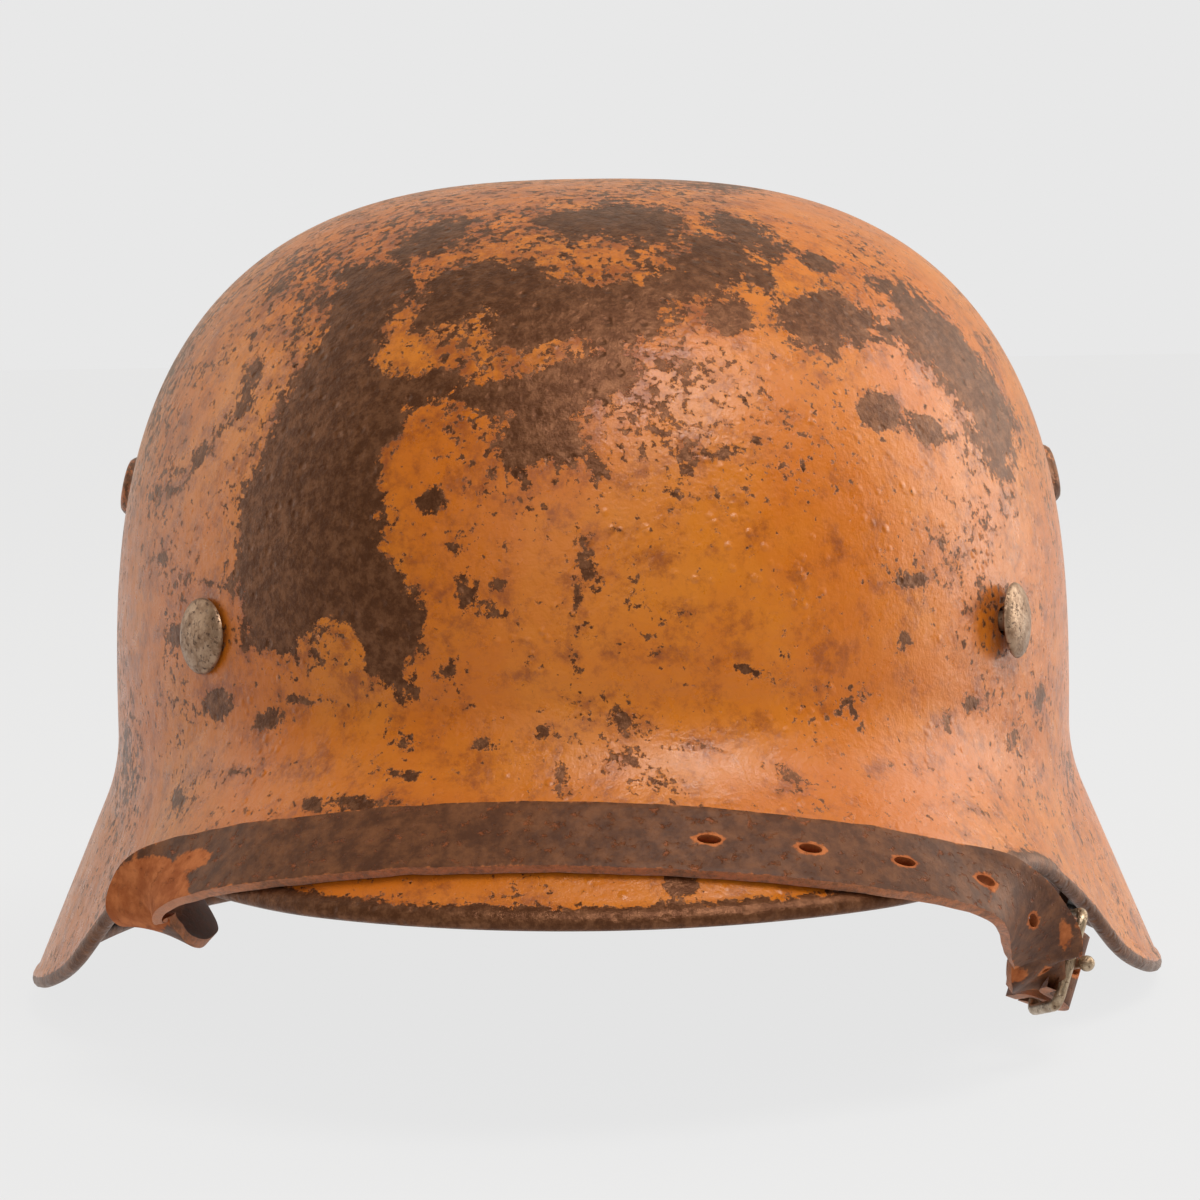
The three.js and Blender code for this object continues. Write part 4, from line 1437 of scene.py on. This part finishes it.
@dataclass
class StrapHardware:
    """The band inside the shell, and the lugs and rings that carry the strap."""

    band_height: float = 28.0
    band_thickness: float = 1.0
    below: float = 0.7
    gap: float = 0.35
    lug_plan: float = 86.0
    lug_length: float = 5.0
    lug_width: float = 4.0
    lug_round: float = 0.4
    eye_height: float = 0.8
    wire: float = 1.0
    ring_length: float = 9.0
    side_room: float = 0.8
    stands_off: float = 4.8
    left_fall: float = 25.0
    right_fall: float = 54.0
    steps: int = 240
    band_crease: float = 40.0
    ring_crease: float = 60.0

    @property
    def bottom(self) -> float:
        """Height of the band's lower edge."""
        return RIVETS.height - self.band_height * self.below

    def ring_frame(self, side: int) -> Frame:
        """Frame of one side's ring at the lug's eye: forward down the strap, outward to the shell.

        Args:
            side: -1 for the left, 1 for the right.

        Returns:
            The frame.
        """
        depth = SHELL.wall + self.gap + self.band_thickness
        height = self.bottom + self.lug_length * self.eye_height
        face = SHELL.frame(side * self.lug_plan, height, -depth, False)
        turn = math.radians(self.left_fall if side < 0 else self.right_fall)
        front = face.forward * -side
        forward = front * math.cos(turn) - face.across * math.sin(turn)
        across = front * math.sin(turn) + face.across * math.cos(turn)
        return Frame(face.origin - face.outward * self.stands_off, forward, across, face.outward)

    def band(self) -> bpy.types.Object:
        """The band with its two lugs.

        Returns:
            The piece.
        """
        outside = -(SHELL.wall + self.gap)
        heights = [self.bottom + self.band_height * share for share in (0, 0.02, 0.5, 0.98, 1)]
        rings = []
        for plan in np.arange(self.steps) * 360 / self.steps:
            outer = [SHELL.point(plan, height, outside, False) for height in heights]
            inner = [SHELL.point(plan, height, outside - self.band_thickness, False) for height in heights]
            rings.append(np.array([*outer, *inner[::-1]]))
        band = torus_rings("band_sheet", rings)
        cut(band, RIVETS.bores())
        lugs = [self.lug(side) for side in (-1, 1)]
        band = join("inner_band", [band, *lugs])
        smooth(band, self.band_crease)
        return band

    def lug(self, side: int) -> bpy.types.Object:
        """One square lug with its eye.

        Args:
            side: -1 for the left, 1 for the right.

        Returns:
            The lug.
        """
        place = self.ring_frame(side)
        inner = self.wire * 2 + self.gap
        depth = self.stands_off + inner + self.band_thickness / 2
        deselect()
        bpy.ops.mesh.primitive_cube_add(size=1)
        lug = bpy.context.object
        shape = np.array([self.lug_length, self.lug_width, depth])
        set_vertices(lug, (vertices(lug) * shape + np.array([0, 0, depth / 2 - inner])) * MM)
        apply_modifier(lug, "BEVEL", width=self.lug_round * MM, segments=3)
        place_mesh(lug, place.matrix())
        eye = Frame(place.origin, place.forward, place.outward, place.across)
        cut(lug, [bore(eye, self.wire + self.gap, self.lug_width * 2)])
        return lug

    def build(self) -> list[bpy.types.Object]:
        """Makes the band and both rings.

        Returns:
            The pieces.
        """
        band = self.band()
        band.data.materials.clear()
        band.data.materials.append(BAND_STEEL.build())
        made = [seat(band, ("liner_band",))]
        half = BUCKLE.strap_width / 2 + self.side_room + self.wire
        for name, side in (("strap_ring_left", -1), ("strap_ring_right", 1)):
            place = self.ring_frame(side)
            loop = rounded_loop(place, self.ring_length, half, half - BUCKLE.strap_width / 2)
            ring = torus_rings(name + "_wire", wire_rings(loop, self.wire, True, place.outward))
            smooth(ring, self.ring_crease)
            ring.data.materials.append(bpy.data.materials[NICKEL.name])
            made.append(seat(ring, (name,)))
        return made


@dataclass
class Buckle:
    """The wire buckle and its prong."""

    strap_width: float = 14.0
    strap_thickness: float = 2.0
    wire: float = 1.1
    length: float = 14.0
    side_room: float = 0.9
    plan: float = 48.7
    height: float = 20.9
    inset: float = 4.4
    forward: tuple[float, float, float] = (-0.03, 0.866, -0.5)
    across: tuple[float, float, float] = (0.65, 0.2, 0.73)
    prong_wire: float = 0.9
    knob: float = 1.5
    gap: float = 0.35
    eye_steps: int = 32
    shaft_steps: int = 24
    crease: float = 60.0

    def frame(self) -> Frame:
        """Frame at the front bar: forward along the strap, across it, and outward.

        Returns:
            The frame.
        """
        face = SHELL.frame(self.plan, self.height, -self.inset)
        forward = mixed(face, self.forward)
        across = mixed(face, self.across)
        across = unit(across - forward * np.dot(across, forward))
        return Frame(face.origin, forward, across, np.cross(forward, across))

    def build(self) -> list[bpy.types.Object]:
        """Makes the wire frame and the prong.

        Returns:
            The two pieces.
        """
        place = self.frame()
        finish = BUCKLE_STEEL.build()
        half = self.strap_width / 2 + self.side_room + self.wire
        loop = rounded_loop(place, self.length, half, half - self.strap_width / 2)
        wire = torus_rings("buckle_wire", wire_rings(loop, self.wire, True, place.outward))
        smooth(wire, self.crease)
        wire.data.materials.append(finish)
        prong = self.prong(place)
        prong.data.materials.append(finish)
        return [seat(wire, ("buckle_frame",)), seat(prong, ("buckle_prong",))]

    def prong(self, place: Frame) -> bpy.types.Object:
        """The prong: an eye round the rear bar, a wire over the front bar and a round knob.

        Args:
            place: the buckle's frame.

        Returns:
            The prong.
        """
        radius = self.wire + self.gap + self.prong_wire
        turns = np.radians(np.arange(self.eye_steps) * 360 / self.eye_steps)
        circle = np.array([place.at(self.length + radius * math.cos(t), radius * math.sin(t)) for t in turns])
        eye = torus_rings("prong_eye", wire_rings(circle, self.prong_wire, True, place.across))
        tip = -self.knob * 0.6
        path = np.array([place.at(s, radius) for s in np.linspace(self.length, tip, self.shaft_steps)])
        rings = wire_rings(path, self.prong_wire, False, place.across)
        shaft, _, _ = sphere_rings("prong_shaft", rings, (path[0], path[-1]))
        face_out(shaft)
        deselect()
        bpy.ops.mesh.primitive_uv_sphere_add(segments=24, ring_count=14, radius=self.knob * MM)
        knob = bpy.context.object
        place_mesh(knob, place.moved(tip, radius + self.knob - self.prong_wire).matrix())
        prong = join("buckle_prong_worn", [eye, shaft, knob])
        smooth(prong, self.crease)
        prong.data.materials.clear()
        return prong


def mixed(face: Frame, shares: tuple[float, float, float]) -> Array:
    """A direction by how much it follows a face's own directions.

    Args:
        face: the face's frame.
        shares: how much it follows the frame's up, along and out directions.

    Returns:
        The direction, of length one.
    """
    up, along, out = shares
    return unit(face.across * up + face.forward * along + face.outward * out)


BUCKLE = Buckle()
HARDWARE = StrapHardware()


@dataclass(frozen=True)
class Station:
    """A stop of the strap on or off the shell, as the part's own table gives it."""

    plan: float
    height: float
    stand: float
    up: float
    along: float
    out: float


LONG_STATIONS = (
    Station(-68, 1.21, -3.7, 0.88, 0.3, 0.36),
    Station(-57, 0.98, -4.7, 0.7, 0.17, 0.7),
    Station(-49, 0.83, -5.6, 0.48, -0.25, 0.84),
    Station(-45.5, 0.78, -3.8, 0.07, -0.5, 0.86),
    Station(-45, 0.79, -1.9, -0.3, -0.6, 0.73),
    Station(-45, 0.86, 0.1, -0.25, -0.65, 0.72),
    Station(-44.5, 0.95, 1.05, 0.15, -0.75, 0.65),
    Station(-41, 1.06, 1.1, 0.75, -0.5, 0.2),
    Station(-35, 1.16, 0.95, 1, -0.1, 0),
    Station(-28, 1.24, 0.85, 1, 0, 0),
    Station(-16, 1.33, 0.7, 1, 0, 0),
    Station(-3, 1.355, 0.7, 1, 0, 0),
    Station(9.5, 1.32, 0.7, 1, 0, 0),
    Station(18.5, 1.25, 0.8, 1, 0, 0),
    Station(26, 1.165, 0.95, 1, 0.05, 0),
    Station(31, 1.085, 0.95, 0.95, 0.3, 0.05),
    Station(35, 1, 1, 0.6, 0.72, 0.33),
    Station(41.5, 0.73, -1.9, 0, 0.56, 0.83),
    Station(43, 0.635, -2.8, 0, 0.3, 0.95),
    Station(43.5, 0.565, -3.9, 0.03, 0.15, 0.99),
    Station(44.5, 0.535, -4.45, 0.1, 0.12, 0.99),
)
SHORT_STATIONS = (
    Station(61.5, 0.5, -5.4, 0.75, 0.04, 0.66),
    Station(69, 0.64, -5, 0.73, -0.28, 0.62),
    Station(77.5, 1.03, -4.4, 0.68, -0.57, 0.4),
)


@dataclass
class SmoothPath:
    """A smooth curve through points of any number of columns, spaced by their distances."""

    points: Array

    def at(self, share: float) -> Array:
        """The point at a share of the way, counted in stops.

        Args:
            share: from 0 at the first point to 1 at the last.

        Returns:
            The point.
        """
        p = (len(self.points) - 1) * share
        i = min(int(p), len(self.points) - 2)
        t = p - i
        p1, p2 = self.points[i], self.points[i + 1]
        p0 = self.points[i - 1] if i > 0 else 2 * p1 - p2
        p3 = self.points[i + 2] if i + 2 < len(self.points) else 2 * p2 - p1
        d0, d1, d2 = (max(np.sum((b - a) ** 2) ** 0.25, 1e-4) for a, b in ((p0, p1), (p1, p2), (p2, p3)))
        m1 = ((p1 - p0) / d0 - (p2 - p0) / (d0 + d1) + (p2 - p1) / d1) * d1
        m2 = ((p2 - p1) / d1 - (p3 - p1) / (d1 + d2) + (p3 - p2) / d2) * d1
        t2, t3 = t * t, t * t * t
        return (p1 * (2 * t3 - 3 * t2 + 1) + p2 * (3 * t2 - 2 * t3)
                + m1 * (t3 - 2 * t2 + t) + m2 * (t3 - t2))

    def heading(self, share: float) -> Array:
        """The direction of travel at a share of the way."""
        step = 1e-4
        return unit(self.at(min(1, share + step)) - self.at(max(0, share - step)))


@dataclass
class LeatherStrap:
    """The two leather straps."""

    hole_pitch: float = 17.5
    hole_count: int = 6
    hole_length: float = 4.2
    hole_width: float = 2.0
    free_tip: float = 8.0
    fine: int = 12
    width_steps: int = 12
    edge_round: float = 0.35
    edge_angle: float = 60.0
    edge_wander: float = 0.35
    cupping: float = 0.3
    crease: float = 50.0

    def on_shell(self, rows: tuple[Station, ...]) -> list[tuple[Array, Array]]:
        """Stops that follow the shell.

        Args:
            rows: the stations.

        Returns:
            The stops, each with the direction across the strap.
        """
        made = []
        for row in rows:
            face = SHELL.frame(row.plan, row.height * SHELL.edge, row.stand * BUCKLE.strap_thickness)
            made.append((face.origin, mixed(face, (row.up, row.along, row.out))))
        return made

    def bar_loop(self, place: Frame, bar: float) -> list[tuple[Array, Array]]:
        """Stops that start with a sewn tail, turn round a bar and leave forward.

        Args:
            place: frame at the bar.
            bar: the bar's radius.

        Returns:
            The stops, each with the direction across the strap.
        """
        thick, gap = BUCKLE.strap_thickness, BUCKLE.gap
        radius = bar + gap + thick / 2
        leaf = thick + gap - radius
        stops = [(thick * 3.4, leaf), (thick * 2.4, leaf), (thick * 1.1, radius * 0.75)]
        stops += [(radius * math.cos(math.radians(a)), radius * math.sin(math.radians(a)))
                  for a in range(90, 271, 36)]
        stops += [(thick * 1.5, -radius), (thick * 3.5, -radius)]
        return [(place.at(s, n), place.across) for s, n in stops]

    def buckle_pass(self, place: Frame) -> list[tuple[Array, Array]]:
        """Stops through the buckle: under its front bar and over the rear bar to the free tip.

        Args:
            place: the buckle's frame.

        Returns:
            The stops, each with the direction across the strap.
        """
        thick, gap = BUCKLE.strap_thickness, BUCKLE.gap
        under = -(BUCKLE.wire + gap + thick / 2) - gap / 2
        over = BUCKLE.wire + 2.3 * gap + thick * 1.5
        shares = ((-0.14, 0), (0, 0), (0.16, 0.03), (0.34, 0.26), (0.5, 0.6), (0.64, 0.87), (0.8, 1), (1, 1))
        stops = [(s * BUCKLE.length, under + (over - under) * share) for s, share in shares]
        stops.append((BUCKLE.length + self.free_tip, over - thick * 0.8))
        return [(place.at(s, n), place.across) for s, n in stops]

    def frames(self, stops: list[tuple[Array, Array]]) -> list[Frame]:
        """Closely spaced frames on one smooth curve through the stops.

        Args:
            stops: the stops, each with the direction across the strap.

        Returns:
            The frames.
        """
        centres = SmoothPath(np.array([stop[0] for stop in stops]))
        acrosses = SmoothPath(np.array([stop[1] for stop in stops]))
        steps = (len(stops) - 1) * self.fine
        made = []
        for share in np.arange(steps + 1) / steps:
            forward = centres.heading(share)
            across = acrosses.at(share)
            across = unit(across - forward * np.dot(across, forward))
            made.append(Frame(centres.at(share), forward, across, np.cross(forward, across)))
        return made

    def lengths(self, frames: list[Frame]) -> Array:
        """How far along the strap each frame is."""
        steps = [np.linalg.norm(b.origin - a.origin) for a, b in zip(frames, frames[1:])]
        return np.cumsum([0.0, *steps])

    def flat(self, name: str, lengths: Array, slots: list[tuple[float, float, float]]) -> bpy.types.Object:
        """The strap as it was cut: a flat strip with oval holes and softened edges.

        Args:
            name: name of the piece.
            lengths: distances of its stations from its start.
            slots: middle, length and width of each hole.

        Returns:
            The strip, along X, with its width along Y and its grain side up.
        """
        long, wide = len(lengths) - 1, self.width_steps
        deselect()
        bpy.ops.mesh.primitive_grid_add(x_subdivisions=long, y_subdivisions=wide, size=1)
        strip = bpy.context.object
        strip.name = name
        old = vertices(strip)
        station = np.rint((old[:, 0] + 0.5) * long).astype(int)
        across = old[:, 1] * BUCKLE.strap_width
        places = [(x, y + self.uneven(x, y), 0.0) for x, y in zip(lengths[station], across)]
        set_vertices(strip, np.array(places) * MM)
        corner = np.empty(len(strip.data.loops), int)
        strip.data.loops.foreach_get("vertex_index", corner)
        maps = np.stack([lengths[station][corner] / 1000, old[corner, 1] + 0.5], -1)
        strip.data.uv_layers[0].data.foreach_set("uv", maps.ravel())
        for side in Side:
            label = "leather_" + side.name.lower()
            strip.data.materials.append(bpy.data.materials.get(label) or OldLeather(label, side).build())
        apply_modifier(strip, "SOLIDIFY", thickness=BUCKLE.strap_thickness * MM, offset=0,
                       material_offset=Side.FLESH.value, material_offset_rim=Side.CUT.value)
        forward, across, outward = np.eye(3)
        cut(strip, [bore(Frame(forward * middle, forward, across, outward), width / 2,
                         BUCKLE.strap_thickness * 2, length / width) for middle, length, width in slots])
        apply_modifier(strip, "BEVEL", width=self.edge_round * MM, segments=2, limit_method="ANGLE",
                       angle_limit=math.radians(self.edge_angle))
        return strip

    def bend(self, strip: bpy.types.Object, frames: list[Frame], lengths: Array,
             slots: list[tuple[float, float, float]]) -> bpy.types.Object:
        """Bends the flat strip along its frames and stores its rubbed places.

        Args:
            strip: the flat strip.
            frames: frames along the curve.
            lengths: their distances from the start.
            slots: the holes of the flat strip.

        Returns:
            The same strip.
        """
        flat = vertices(strip) / MM
        columns = {name: np.array([getattr(f, name) for f in frames])
                   for name in ("origin", "across", "outward")}
        found = {name: np.stack([np.interp(flat[:, 0], lengths, rows[:, k]) for k in range(3)], -1)
                 for name, rows in columns.items()}
        places = (found["origin"] + unit(found["across"]) * flat[:, 1:2]
                  + unit(found["outward"]) * (flat[:, 2:3] + self.cupped(flat)))
        set_vertices(strip, places * MM)
        set_attribute(strip, "scuff", self.scuffs(places, flat, slots))
        smooth(strip, self.crease)
        return strip

    def uneven(self, length: float, across: float) -> float:
        """How far the cut edge wanders, in millimetres."""
        edge = abs(across) / (BUCKLE.strap_width / 2)
        wave = noise.noise(Vector((length * 0.16, math.copysign(4, across), 3)))
        return self.edge_wander * edge ** 6 * wave

    def cupped(self, flat: Array) -> Array:
        """How far the old leather lifts between its edges, in millimetres."""
        waves = [noise.noise(Vector((x * 0.07, y * 0.09, 7))) for x, y, _ in flat.tolist()]
        return self.cupping * np.array(waves)[:, None]

    def scuffs(self, places: Array, flat: Array, slots: list[tuple[float, float, float]]) -> Array:
        """Rubbed places: the cut edges, the folds by the photograph's pixels, and round the holes.

        Args:
            places: the bent strip's vertices in millimetres.
            flat: the same vertices before the bend.
            slots: the holes of the flat strip.

        Returns:
            1 where the leather is rubbed.
        """
        px, py = VIEW.pixels(places)
        share = np.abs(flat[:, 1]) / BUCKLE.strap_width
        marks = np.clip((share - 0.44) / 0.06, 0, 1) * 0.5
        for mark in STRAP_SCUFFS:
            marks = np.maximum(marks, np.clip(mark.depth(px, py) / 10, 0, 1))
        for middle, length, width in slots:
            reach = np.hypot((flat[:, 0] - middle) / (length / 2), flat[:, 1] / (width / 2))
            marks = np.maximum(marks, np.clip(2.0 - reach, 0, 1))
        return marks

    def long(self) -> bpy.types.Object:
        """The long strap, from the left ring over the visor to the buckle.

        Returns:
            The strap.
        """
        place = BUCKLE.frame()
        bar = HARDWARE.ring_frame(-1).moved(HARDWARE.ring_length)
        frames = self.frames([*self.bar_loop(bar, HARDWARE.wire), *self.on_shell(LONG_STATIONS),
                              *self.buckle_pass(place)])
        lengths = self.lengths(frames)
        through = place.at(BUCKLE.length / 2, BUCKLE.wire + BUCKLE.gap + BUCKLE.prong_wire)
        used = lengths[int(np.argmin([np.linalg.norm(through - f.origin) for f in frames]))]
        slots = [(used - self.hole_pitch * (k + 1), self.hole_length, self.hole_width)
                 for k in range(self.hole_count)]
        slots.append((used, BUCKLE.length * 0.6, (BUCKLE.prong_wire + BUCKLE.gap) * 2))
        return self.bend(self.flat("strap_long_leather", lengths, slots), frames, lengths, slots)

    def short(self) -> bpy.types.Object:
        """The short strap, from the buckle's rear bar to the right ring.

        Returns:
            The strap.
        """
        rear = BUCKLE.frame().moved(BUCKLE.length)
        bar = HARDWARE.ring_frame(1).moved(HARDWARE.ring_length)
        frames = self.frames([*self.bar_loop(rear, BUCKLE.wire), *self.on_shell(SHORT_STATIONS),
                              *self.bar_loop(bar, HARDWARE.wire)[::-1]])
        lengths = self.lengths(frames)
        offsets = np.array([np.dot(f.origin - rear.origin, rear.forward) for f in frames])
        near = lengths[(np.abs(offsets) < BUCKLE.length * 0.3) & (lengths < lengths[-1] / 2)]
        slots = [((near[0] + near[-1]) / 2, near[-1] - near[0], (BUCKLE.prong_wire + BUCKLE.gap) * 2)]
        return self.bend(self.flat("strap_short_leather", lengths, slots), frames, lengths, slots)

    def build(self) -> list[bpy.types.Object]:
        """Makes both straps."""
        return [seat(self.long(), ("chin_strap_long",)),
                seat(self.short(), ("chin_strap_short",))]


STRAP_SCUFFS = (
    Blot(192, 860, 30, 15, -20), Blot(140, 900, 62, 44, -35), Blot(992, 890, 7, 30, 15),
    Blot(1065, 935, 12, 26), Blot(1030, 945, 5, 26, 30), Blot(1004, 900, 22, 4, 60),
    Blot(1025, 900, 22, 4, 60), Blot(410, 830, 8, 12, 20), Blot(940, 850, 14, 6, 20), Blot(1015, 975, 20, 14),
)


@dataclass(frozen=True)
class Lamp:
    """A soft light: its place and what it faces in metres, its width and height, watts and tint."""

    name: str
    place: tuple[float, float, float]
    aim: tuple[float, float, float]
    size: tuple[float, float]
    power: float
    tint: Colour

    def build(self) -> None:
        """Adds the light."""
        bpy.ops.object.light_add(type="AREA", location=self.place)
        lamp = bpy.context.object
        lamp.name = self.name
        lamp.rotation_euler = (Vector(self.aim) - Vector(self.place)).to_track_quat("-Z", "Y").to_euler()
        lamp.data.shape = "RECTANGLE"
        lamp.data.size, lamp.data.size_y = self.size
        lamp.data.energy = self.power
        lamp.data.color = self.tint


LAMPS = (
    Lamp("key_overhead", (0.32, -0.5, 1.0), (0, 0, 0.1), (0.62, 0.36), 8.8, (1, 0.98, 0.95)),
    Lamp("front_fill", (-0.3, -1.6, 0.9), (0, 0, 0.08), (1.0, 0.6), 4, (1, 0.97, 0.92)),
    Lamp("left_edge", (-1.1, 0.35, 0.4), (0, 0, 0.08), (0.8, 1.2), 3, (1, 0.97, 0.9)),
    Lamp("right_edge", (1.1, 0.35, 0.4), (0, 0, 0.08), (0.8, 1.2), 11, (1, 0.98, 0.9)),
)


@dataclass
class Studio:
    """The floor, the pale backdrop and the soft lights."""

    floor_size: float = 12.0
    backdrop: Colour = (0.807, 0.807, 0.807)
    front_glow: float = 0.12
    back_glow: float = 0.62
    glow_tint: Colour = (1.0, 0.93, 0.82)
    glow_span: tuple[float, float] = (-0.6, 0.5)

    def air(self, tree: bpy.types.NodeTree) -> None:
        """A plain pale backdrop that lights the helmet most from behind, as the photograph's studio does.

        Args:
            tree: the world's node tree.
        """
        nodes, links = tree.nodes, tree.links
        plain = nodes["Background"]
        plain.inputs["Color"].default_value = (*self.backdrop, 1)
        lit = nodes.new("ShaderNodeBackground")
        lit.inputs["Color"].default_value = (*self.glow_tint, 1)
        way = nodes.new("ShaderNodeSeparateXYZ")
        links.new(nodes.new("ShaderNodeTexCoord").outputs["Generated"], way.inputs[0])
        fall = nodes.new("ShaderNodeMapRange")
        fall.inputs["From Min"].default_value, fall.inputs["From Max"].default_value = self.glow_span
        fall.inputs["To Min"].default_value = self.front_glow
        fall.inputs["To Max"].default_value = self.back_glow
        links.new(way.outputs["Y"], fall.inputs["Value"])
        links.new(fall.outputs[0], lit.inputs["Strength"])
        seen = nodes.new("ShaderNodeMixShader")
        links.new(nodes.new("ShaderNodeLightPath").outputs["Is Camera Ray"], seen.inputs[0])
        links.new(lit.outputs[0], seen.inputs[1])
        links.new(plain.outputs[0], seen.inputs[2])
        links.new(seen.outputs[0], nodes["World Output"].inputs["Surface"])

    def build(self) -> None:
        """Makes the floor, the backdrop's light and the lamps."""
        deselect()
        bpy.ops.mesh.primitive_plane_add(size=self.floor_size)
        floor = bpy.context.object
        floor.name = "studio_floor"
        floor.data.materials.append(StudioGround().build())
        world = bpy.data.worlds.new("studio_air")
        bpy.context.scene.world = world
        world.use_nodes = True
        self.air(world.node_tree)
        bpy.context.scene.view_settings.view_transform = "Standard"
        for lamp in LAMPS:
            lamp.build()


def main() -> None:
    """Builds the helmet and its studio, and logs how many pieces it made."""
    logging.basicConfig(level=logging.INFO, format="%(name)s: %(message)s")
    VIEW.add()
    Studio().build()
    pieces = [HelmetShell().build(), *VENTS.build(), *RIVETS.build(), *HARDWARE.build(),
              *BUCKLE.build(), *LeatherStrap().build()]
    LOG.info("%d pieces", len(pieces))


if __name__ == "__main__":
    main()
